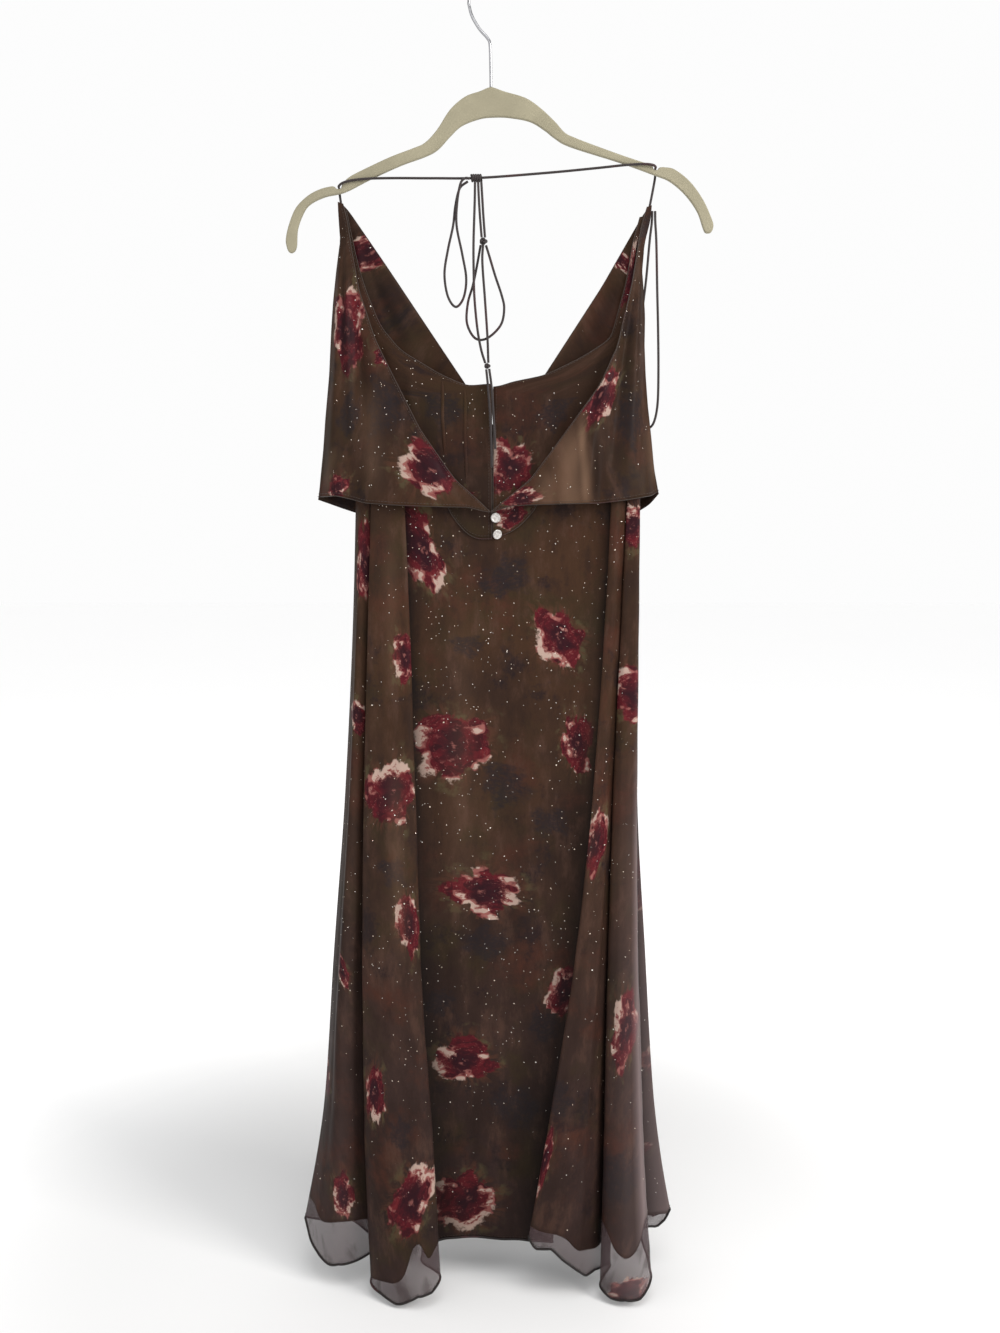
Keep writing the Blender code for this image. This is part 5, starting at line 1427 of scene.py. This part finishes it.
# %% [markdown]
# ## Hems and edges
# Chiffon is finished with a narrow rolled hem: at the skirt's hem it is a dark cord about 2.7 mm
# thick, its near-black partly painted shade along the hem, and on the flounces and necklines a finer
# one. Each is swept along the cloth's own edge.

# %% Rolled hems
HEM_RADIUS = 1.35
FINE_EDGE_RADIUS = 0.5


def finished_edges(name):
    if name == "bodice_front":
        return ("top",)
    return ("right", "low") if "_back_" in name else ("low",)


def edge_of(grid, side):
    return {"top": grid[0], "low": grid[-1], "right": grid[:, -1]}[side]


# piece, grid, its finished edges, outward sign
EDGES = [(row[0], row[1], finished_edges(row[0]), row[5]) for row in CLOTH_PIECES]
hems = {}
for name, grid, sides, outward in EDGES:
    radius, finish = (HEM_RADIUS, ROLLED_EDGE) if "skirt" in name else (FINE_EDGE_RADIUS, FINE_EDGE)
    source = path_object(name + "_path", [edge_of(grid, side) for side in sides])
    hems[name] = run_tree(name + "_rolled_edge", source, ROLLED_EDGE_TREE, Radius=radius * MM, Finish=finish)
    print(name, "rolled edge:", len(hems[name].data.polygons), "faces")

# %% [markdown]
# ## Stitches and tucks
# A line of stitches holds each neckline, slit and hem, 3 mm in from the edge. Two narrow tucks run
# down the left half of the back, each a fold pressed flat and sewn down.

# %% Stitch lines
STITCH_PITCH = 3.4
STITCH_LENGTH = 2.2
STITCH_RADIUS = 0.22
STITCH_INSET = 3.0


def inset_line(grid, side, distance, lift, outward):
    # A line on the cloth's outer face, at a distance from one of its edges.
    normal = grid_normals(grid) * outward
    raised = grid + normal * lift
    columns = {"top": raised, "low": raised[::-1], "right": raised[:, ::-1].swapaxes(0, 1)}[side]
    steps = np.linalg.norm(np.diff(columns, axis=0), axis=2)
    where = np.concatenate([np.zeros((1, columns.shape[1])), np.cumsum(steps, axis=0)])
    line = []
    for k in range(columns.shape[1]):
        if where[-1, k] > 2.5 * distance:
            line.append([np.interp(distance, where[:, k], columns[:, k, axis]) for axis in range(3)])
    return np.array(line)


stitches = {}
for name, grid, sides, outward in EDGES:
    lines = [inset_line(grid, side, STITCH_INSET, SHELL_THICKNESS / 2, outward) for side in sides]
    source = path_object(name + "_stitch_path", lines)
    stitches[name] = run_tree(name + "_stitches", source, STITCH_TREE, Pitch=STITCH_PITCH * MM,
                              Length=STITCH_LENGTH * MM, Radius=STITCH_RADIUS * MM, Finish=SEWING_THREAD)
    print(name, "stitches:", len(stitches[name].data.polygons), "faces")

# %% Tucks
# x and z at the top and at the bottom of each tuck, and its width
TUCKS = (
    ("tuck_outer", -52.5, -403, -50.5, -484, 3.6),
    ("tuck_inner", -28.5, -412, -27.0, -516, 3.6),
)
TUCK_RISE = 1.1


def surface_y(grid, x, z):
    k = np.argmin(np.hypot(grid[:, :, 0] - x, grid[:, :, 2] - z))
    return grid.reshape(-1, 3)[k, 1]


def tuck_strip(name, x_top, z_top, x_low, z_low, width, rows=48):
    # A fold pressed to one side: it rises at its sewn edge and rounds over at its free edge.
    profile = ((0.0, -0.1), (0.12, 0.55), (0.45, 0.75), (0.82, 1.0), (1.0, 0.72), (1.0, 0.25))
    verts, faces = [], []
    for r in range(rows):
        share = r / (rows - 1)
        ease = math.sin(math.pi * min(1.0, max(0.0, share * 6, 0.05)) / 2) * min(1.0, (1 - share) * 6 + 0.05)
        x, z = mix(x_top, x_low, share) + 0.4 * math.sin(share * 9), mix(z_top, z_low, share)
        base = surface_y(back_left_grid, x, z) - SHELL_THICKNESS / 2
        for across, rise in profile:
            verts.append(Vector((x + (across - 0.5) * width * ease, base - rise * TUCK_RISE * ease, z)) * MM)
    count = len(profile)
    for r in range(rows - 1):
        for k in range(count - 1):
            a = r * count + k
            faces.append((a, a + count, a + count + 1, a + 1))
        a = r * count
        faces.append((a + count - 1, a + 2 * count - 1, a + count, a))
    faces.append(tuple(range(count)))
    faces.append(tuple(reversed(range((rows - 1) * count, rows * count))))
    mesh = bpy.data.meshes.new(name)
    mesh.from_pydata(verts, [], faces)
    shape = bmesh.new()
    shape.from_mesh(mesh)
    bmesh.ops.recalc_face_normals(shape, faces=shape.faces)
    shape.to_mesh(mesh)
    shape.free()
    place = np.array([tuple(v) for v in verts])
    loops = np.array([loop.vertex_index for loop in mesh.loops])
    add_uv(mesh, "cloth", np.stack([place[loops, 0] + 6.0, -place[loops, 2]], axis=1))
    add_uv(mesh, "rose", np.full((len(loops), 2), 9.0))
    return add_piece(name, mesh, DRESS_CLOTH)


tucks = [tuck_strip(*row) for row in TUCKS]

# %% [markdown]
# ## Glitter
# The flakes are scattered over a one-sided copy of each piece, denser in clouds as on the real
# cloth. There are a few thousand, each a single hexagon.

# %% Glitter flakes
FLAKE_RADIUS = 0.34
FLAKE_DENSITY = 5600.0
BOLD_FLAKE_RADIUS = 0.58
BOLD_FLAKE_DENSITY = 480.0
FLAKE_LIFT = SHELL_THICKNESS / 2 + 0.12


def one_sided(name, grid, outward):
    quads = grid_quads(*grid.shape[:2], outward)[1]
    mesh = bpy.data.meshes.new(name)
    mesh.from_pydata((grid.reshape(-1, 3) * MM).tolist(), [], quads.tolist())
    return add_piece(name, mesh)


def join_meshes(name, pieces):
    shape = bmesh.new()
    for piece in pieces:
        shape.from_mesh(piece.data)
        bpy.data.objects.remove(piece)
    mesh = bpy.data.meshes.new(name)
    shape.to_mesh(mesh)
    shape.free()
    return add_piece(name, mesh, GLITTER_FLAKE)


glitter = {}
for name, grid, column, shift, material, outward, seed in CLOTH_PIECES:
    parts = []
    for radius, density in ((FLAKE_RADIUS, FLAKE_DENSITY), (BOLD_FLAKE_RADIUS, BOLD_FLAKE_DENSITY)):
        source = one_sided(name + "_glitter_base", grid[2:-2, 2:-2], outward)
        parts.append(run_tree(name + "_flakes", source, GLITTER_TREE, Radius=radius * MM, Density=density,
                              Lift=FLAKE_LIFT * MM, Seed=seed, Finish=GLITTER_FLAKE))
    glitter[name] = join_meshes(name + "_glitter", parts)
    print(name, "flakes:", len(glitter[name].data.polygons))

# %% [markdown]
# ## Hanger and hook
# The hanger is a slim moulded body flocked with beige velvet, 5 mm thick, with a notch in each arm
# for the string. Its outline is the one in the frame, run through a closed Catmull-Rom curve and
# rounded at its edges by a quarter circle of rings. The hook is one bent wire with a rounded tip.

# %% Hanger tables
HANGER_THICK = 5.0
HANGER_ROUND = 1.6
HANGER_UPPER = (
    (-215.9, -266), (-216.6, -258), (-213.2, -243.6), (-205.5, -226.3), (-192.7, -214), (-179.9, -207.4),
    (-168.5, -204.6), (-164.4, -205), (-162.2, -206.9), (-158, -206.7), (-156.2, -202.4), (-150, -195.8),
    (-137.7, -189.2), (-106, -174.8), (-82, -166), (-69.3, -160.3), (-56.6, -147.2), (-42.9, -127.1),
    (-27.2, -114.1), (-11.6, -108.6), (-4.5, -105.6), (-0.1, -104.6), (4.5, -105.6), (14.5, -109.1),
    (35.4, -115.1), (51.1, -125.1), (66.8, -139.2), (77.3, -150.3), (88, -155.4), (103.6, -161.3),
    (135.1, -172.3), (157, -179.4), (168, -182.6), (170.6, -187.2), (174.2, -187.8), (176.6, -185.4),
    (183, -185.2), (193, -187.6), (208.9, -199.8), (222.9, -218.1), (232.7, -238.5), (234.1, -246),
    (231.5, -251.5))
HANGER_LOWER = (
    (226, -251.8), (223, -246.7), (216.8, -230.3), (203.9, -213), (187.9, -199.8), (172.1, -193.4),
    (135.2, -180.5), (82.6, -164.4), (66, -155.5), (56.4, -148.2), (40.7, -139.2), (19.8, -135.2),
    (4.1, -134.6), (-11.6, -136.2), (-30.4, -143.2), (-43, -154.3), (-55.7, -167.4), (-69.3, -174.5),
    (-95.6, -183.8), (-127.3, -197.8), (-153.7, -210.6), (-174.8, -215.4), (-190.7, -223.2),
    (-198.2, -233.4), (-203.8, -248.7), (-205.2, -266), (-209, -272), (-213.5, -271.5))
HOOK_WIRE = 3.2
HOOK_INNER_RADIUS = 21.5
HOOK_END_ANGLE = 16.0
HOOK_STEM = (
    (-0.1, -104.1), (-0.4, -84), (-1.1, -62.2), (-3.6, -55.6), (-11.5, -47.0), (-18.4, -36.4),
    (-21.8, -28.0))


# %% Hanger body
def closed_curve(pairs, steps):
    # Catmull-Rom curve through a closed list of (x, z) points.
    points = np.array(pairs, float)
    line = curve_through(np.concatenate([points[-2:], points, points[:3]]), steps)
    return line[2 * steps:2 * steps + len(points) * steps]


def hanger_shell():
    flat = closed_curve(HANGER_UPPER + HANGER_LOWER, 5)
    edge = np.column_stack([flat[:, 0], np.zeros(len(flat)), flat[:, 1]])
    along = np.roll(edge, -1, axis=0) - np.roll(edge, 1, axis=0)
    along = along / np.linalg.norm(along, axis=1, keepdims=True)
    inward = np.column_stack([along[:, 2], np.zeros(len(edge)), -along[:, 0]])
    half = HANGER_THICK / 2
    profile = []
    for k in range(6):
        turn = math.pi / 2 * k / 5
        profile.append((-half + HANGER_ROUND * (1 - math.sin(turn)), HANGER_ROUND * (1 - math.cos(turn))))
    profile = profile[::-1] + [(-y, inset) for y, inset in profile]
    rings = [edge + inward * inset + np.array([0.0, y, 0.0]) for y, inset in profile]
    count = len(edge)
    index = np.arange(count)
    faces = []
    for r in range(len(rings) - 1):
        a, b = r * count + index, r * count + np.roll(index, -1)
        faces += np.stack([a, b, b + count, a + count], axis=1).tolist()
    faces.append(list(range(count)))
    faces.append(list(range((len(rings) - 1) * count, len(rings) * count)))
    mesh = bpy.data.meshes.new("hanger_velvet_body")
    mesh.from_pydata((np.concatenate(rings) * MM).tolist(), [], faces)
    shape = bmesh.new()
    shape.from_mesh(mesh)
    bmesh.ops.triangulate(shape, faces=[face for face in shape.faces if len(face.verts) > 4])
    bmesh.ops.recalc_face_normals(shape, faces=shape.faces)
    shape.to_mesh(mesh)
    shape.free()
    piece = add_piece("hanger_velvet_body", mesh, HANGER_VELVET)
    mesh.set_sharp_from_angle(angle=math.radians(40))
    return piece


def round_tube(name, points, radius, material, closed=False, swell=None):
    # A bevelled curve turned into a plain mesh. swell gives each point's share of the radius.
    curve = bevelled_curve(name, points * MM, radius * MM, 5)
    curve.splines[0].use_cyclic_u = closed
    if swell is not None:
        curve.splines[0].points.foreach_set("radius", swell)
    mesh = plain_mesh_of(add_piece(name, curve))
    mesh.materials.clear()
    return add_piece(name, mesh, material)


def hook_points():
    radius = HOOK_INNER_RADIUS + HOOK_WIRE / 2
    stem = spread(curve_through([(x, 0.0, z) for x, z in HOOK_STEM], 10), 50)
    turns = np.radians(np.linspace(180.0, HOOK_END_ANGLE, 90))
    arc = np.column_stack([radius * np.cos(turns), 0 * turns, radius * np.sin(turns) - HOOK_INNER_RADIUS])
    return np.concatenate([stem[:-1], arc])


hanger_piece = hanger_shell()
route = hook_points()
from_end = np.concatenate([np.cumsum(np.linalg.norm(np.diff(route, axis=0), axis=1)[::-1])[::-1], [0.0]])
tip = np.clip(from_end / (HOOK_WIRE / 2), 0.0, 1.0)
hook_piece = round_tube("hanger_wire_hook", route, HOOK_WIRE / 2, HOOK_WIRE_METAL,
                        swell=np.sqrt(1 - (1 - tip) ** 2 * 0.98))

# %% [markdown]
# ## Buttons, knots and the turn of the string
# Two shank buttons of shell sit at the centre back: a raised rim round a dished middle, turned on a
# lathe profile. The lower one is tipped, so it shows as an oval. The knots are pulled-up loops of
# the same string, and where the bow sits the string takes four turns round the halter string.

# %% Buttons
FLAP_Y = -11.6
CLOTH_WALL = 1.2
BUTTON_RADIUS = 5.3
BUTTON_THICK = 2.6
BUTTON_SHANK = 0.4
# node, x, z, tip about Z and about X in degrees
BUTTONS = (("button_top", 4.7, -550.4, 6, -4), ("button_low", 6.4, -568.0, 30, -16))
# share of the radius, share of the thickness from the back
BUTTON_PROFILE = (
    (0, 0), (0.46, 0), (0.8, 0.1), (0.95, 0.26), (1, 0.5), (0.985, 0.74), (0.93, 0.92),
    (0.85, 1), (0.76, 0.97), (0.69, 0.86), (0.6, 0.78), (0.4, 0.72), (0.18, 0.7), (0, 0.7))


def lathe_button(name, x, z, tip_z, tip_x, sides=48):
    back = FLAP_Y - CLOTH_WALL / 2 - BUTTON_SHANK
    middle = back - BUTTON_THICK / 2
    cos_z, sin_z = math.cos(math.radians(tip_z)), math.sin(math.radians(tip_z))
    cos_x, sin_x = math.cos(math.radians(tip_x)), math.sin(math.radians(tip_x))
    shape = bmesh.new()
    rings = []
    for share, depth in BUTTON_PROFILE:
        ring = []
        for s in range(sides if share > 0 else 1):
            turn = 2 * math.pi * s / sides
            a, b = BUTTON_RADIUS * share * math.cos(turn), BUTTON_RADIUS * share * math.sin(turn)
            c = -(depth - 0.5) * BUTTON_THICK
            a, c = a * cos_z - c * sin_z, a * sin_z + c * cos_z
            b, c = b * cos_x - c * sin_x, b * sin_x + c * cos_x
            ring.append(shape.verts.new(Vector((x + a, middle + c, z + b)) * MM))
        rings.append(ring)
    for first, second in zip(rings, rings[1:]):
        for s in range(sides):
            t = (s + 1) % sides
            if len(first) == 1:
                shape.faces.new((first[0], second[s], second[t]))
            elif len(second) == 1:
                shape.faces.new((first[s], second[0], first[t]))
            else:
                shape.faces.new((first[s], second[s], second[t], first[t]))
    bmesh.ops.recalc_face_normals(shape, faces=shape.faces)
    mesh = bpy.data.meshes.new(name)
    shape.to_mesh(mesh)
    shape.free()
    return add_piece(name, mesh, BUTTON_SHELL)


buttons = {node: lathe_button(node + "_shell", x, z, a, b) for node, x, z, a, b in BUTTONS}

# %% Knots and turns
# node, centre x, y, z, half sizes x, y, z
KNOTS = (
    ("knot_middle", -8.2, -7.4, -262, 4.6, 3.4, 3.8),
    ("knot_low", -4.2, -12.2, -391, 3.6, 3.2, 3),
)
KNOT_STRAND = 1.25
TURN_CENTRE = (-15.5, 0.0, -195.85)
TURN_LENGTH = 13.0
TURN_OUTER_RADIUS = 4.3


def pulled_knot(node, x, y, z, half_x, half_y, half_z):
    # A closed loop that winds three times through itself, squeezed into the knot's size.
    t = np.linspace(0.0, 2 * np.pi, 120, endpoint=False)
    ring = 2.0 + np.cos(3 * t)
    across = ring * np.cos(2 * t) / 3 * (half_x - KNOT_STRAND)
    up = ring * np.sin(2 * t) / 3 * (half_z - KNOT_STRAND)
    depth = np.sin(3 * t) * (half_y - KNOT_STRAND)
    points = np.column_stack([x + across, y + depth, z + up])
    return round_tube(node + "_wound", points, KNOT_STRAND, STRING_CLOTH, closed=True)


def wound_turn():
    strand = 1.22
    radius = TURN_OUTER_RADIUS - strand
    turns = 4.4
    t = np.linspace(0.0, 1.0, 150)
    angle = 2 * np.pi * turns * t
    winding = [(t - 0.5) * (TURN_LENGTH - 2 * strand), radius * np.sin(angle), radius * np.cos(angle)]
    points = np.column_stack(winding) + TURN_CENTRE
    return round_tube("string_turn_wound", points, strand, STRING_CLOTH)


knots = {row[0]: pulled_knot(*row) for row in KNOTS}
turn_piece = wound_turn()

# %% [markdown]
# ## Floor and light
# The photo has a white ground with a soft grey shadow under the hem. A wide pale floor just below
# the hem takes that shadow. A bright sky, dimmer overhead, stands for the white room, and three
# large soft lamps model the folds: a key from the upper right, a weaker one from the left, and one
# from above and in front.

# %% Floor and lamps
FLOOR_Z = -1.408
FLOOR_HALF = 14.0
SKY_STRENGTH = 0.98
SKY_OVERHEAD = 0.28


def floor_finish():
    n = make_finish("studio_floor", Roughness=0.85, Specular_IOR_Level=0.1,
                    Emission_Color=(1.0, 1.0, 1.0, 1.0))
    place = n.place()
    cloud = n.noise(place, 1.2, 2.0)
    far = n.vector("LENGTH", n.scaled(place, 1.0, 1.0, 0.0))
    # Painted light: the floor glows more the farther it lies from the dress, fading into the white sky while
    # it keeps its shadow near the hem.
    glow = n.times(n.step(far, 0.40, 1.05), 0.45)
    return n.plug(Base_Color=n.blend(cloud, (0.80, 0.80, 0.80), (0.82, 0.82, 0.82)), Emission_Strength=glow)


floor_mesh = bpy.data.meshes.new("studio_floor")
corners = [(x * FLOOR_HALF, y * FLOOR_HALF, FLOOR_Z) for x, y in ((-1, -1), (1, -1), (1, 1), (-1, 1))]
floor_mesh.from_pydata(corners, [], [(0, 1, 2, 3)])
floor = add_piece("studio_floor", floor_mesh, floor_finish())

world = bpy.data.worlds.new("white_room")
world.use_nodes = True
sky = Shader(world.node_tree)
upward = sky.add("ShaderNodeSeparateXYZ", sky.add("ShaderNodeTexCoord", out=0), out=2)
strength = sky.add("ShaderNodeMapRange", upward, 0.42, 0.95, SKY_STRENGTH, SKY_OVERHEAD)
world.node_tree.links.new(strength, world.node_tree.nodes["Background"].inputs["Strength"])
world.node_tree.nodes["Background"].inputs["Color"].default_value = (1.0, 1.0, 1.0, 1.0)
bpy.context.scene.world = world
bpy.context.scene.view_settings.view_transform = "Standard"

# name, place, what it looks at, width, height, watts, colour
LAMPS = (
    ("key", (2.1, -1.5, 0.55), (0, 0, -0.85), 1, 1.3, 58, (1, 0.975, 0.95)),
    ("fill", (-1.7, -2.2, 0.1), (0, 0, -0.8), 1.8, 1.8, 12, (0.97, 0.985, 1)),
    ("overhead", (0.35, -1.3, 1.7), (0, 0.1, -1.4), 1.6, 1.6, 36, (1, 1, 1)),
)
for name, place, aim, width, height, watts, colour in LAMPS:
    lamp = bpy.data.lights.new(name + "_lamp", "AREA")
    lamp.shape = "RECTANGLE"
    lamp.size, lamp.size_y = width, height
    lamp.energy = watts
    lamp.color = colour
    stand = bpy.data.objects.new(name + "_lamp", lamp)
    stand.location = place
    stand.rotation_euler = (Vector(aim) - Vector(place)).to_track_quat("-Z", "Y").to_euler()
    bpy.context.scene.collection.objects.link(stand)

# %% [markdown]
# ## What each piece is
# Every piece rides on the one body, and each that stands for a plain solid says which. Each cloth
# is declared as a sheet with the size it was cut to.

# %% Replacing the plain solids
SLOTS = {"hanger_body": (hanger_piece, "hanger_velvet"), "hanger_hook": (hook_piece, "hook_wire")}
SLOTS.update({node: (piece, "button_shell") for node, piece in buttons.items()})
SLOTS.update({node: (piece, "string_cloth") for node, piece in knots.items()})
SLOTS["string_turn"] = (turn_piece, "string_cloth")
for name, shell in shells.items():
    SLOTS[name] = (shell, "lining_cloth" if name == "skirt_lining" else "dress_cloth")
for node, (piece, points, far_end, lay) in cords.items():
    piece.data.materials.append(STRING_CLOTH)
    SLOTS[node] = (piece, "string_cloth")
for node, (piece, slot) in SLOTS.items():
    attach(piece, "root")
    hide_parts(node)
trimmings = [*hems.values(), *stitches.values(), *glitter.values(), *tucks]
for piece in trimmings:
    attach(piece, "root")
print(len(SLOTS), "nodes replaced,", len(trimmings), "trimmings")

# %% Sheets
# node: width and length of the cut, its area in square metres, what it hangs from
CUTS = {
    "skirt_back": (0.78, 0.90, 0.45, ["bodice_back_left", "bodice_back_right"]),
    "skirt_front": (0.52, 0.90, 0.34, ["bodice_front"]),
    "skirt_lining": (0.80, 0.82, 0.55, ["bodice_front"]),
    "bodice_front": (0.34, 0.29, 0.050, ["halter_string"]),
    "bodice_back_left": (0.18, 0.35, 0.025, ["bodice_front"]),
    "bodice_back_right": (0.18, 0.35, 0.025, ["bodice_front"]),
    "flounce_back_left": (0.19, 0.33, 0.026, ["halter_string"]),
    "flounce_back_right": (0.19, 0.33, 0.021, ["halter_string"]),
    "flounce_front": (0.40, 0.34, 0.080, ["halter_string"]),
}
for node, (width, length, area, rests_on) in CUTS.items():
    riders = [group[node] for group in (hems, stitches, glitter) if node in group]
    if node == "bodice_back_left":
        riders += tucks
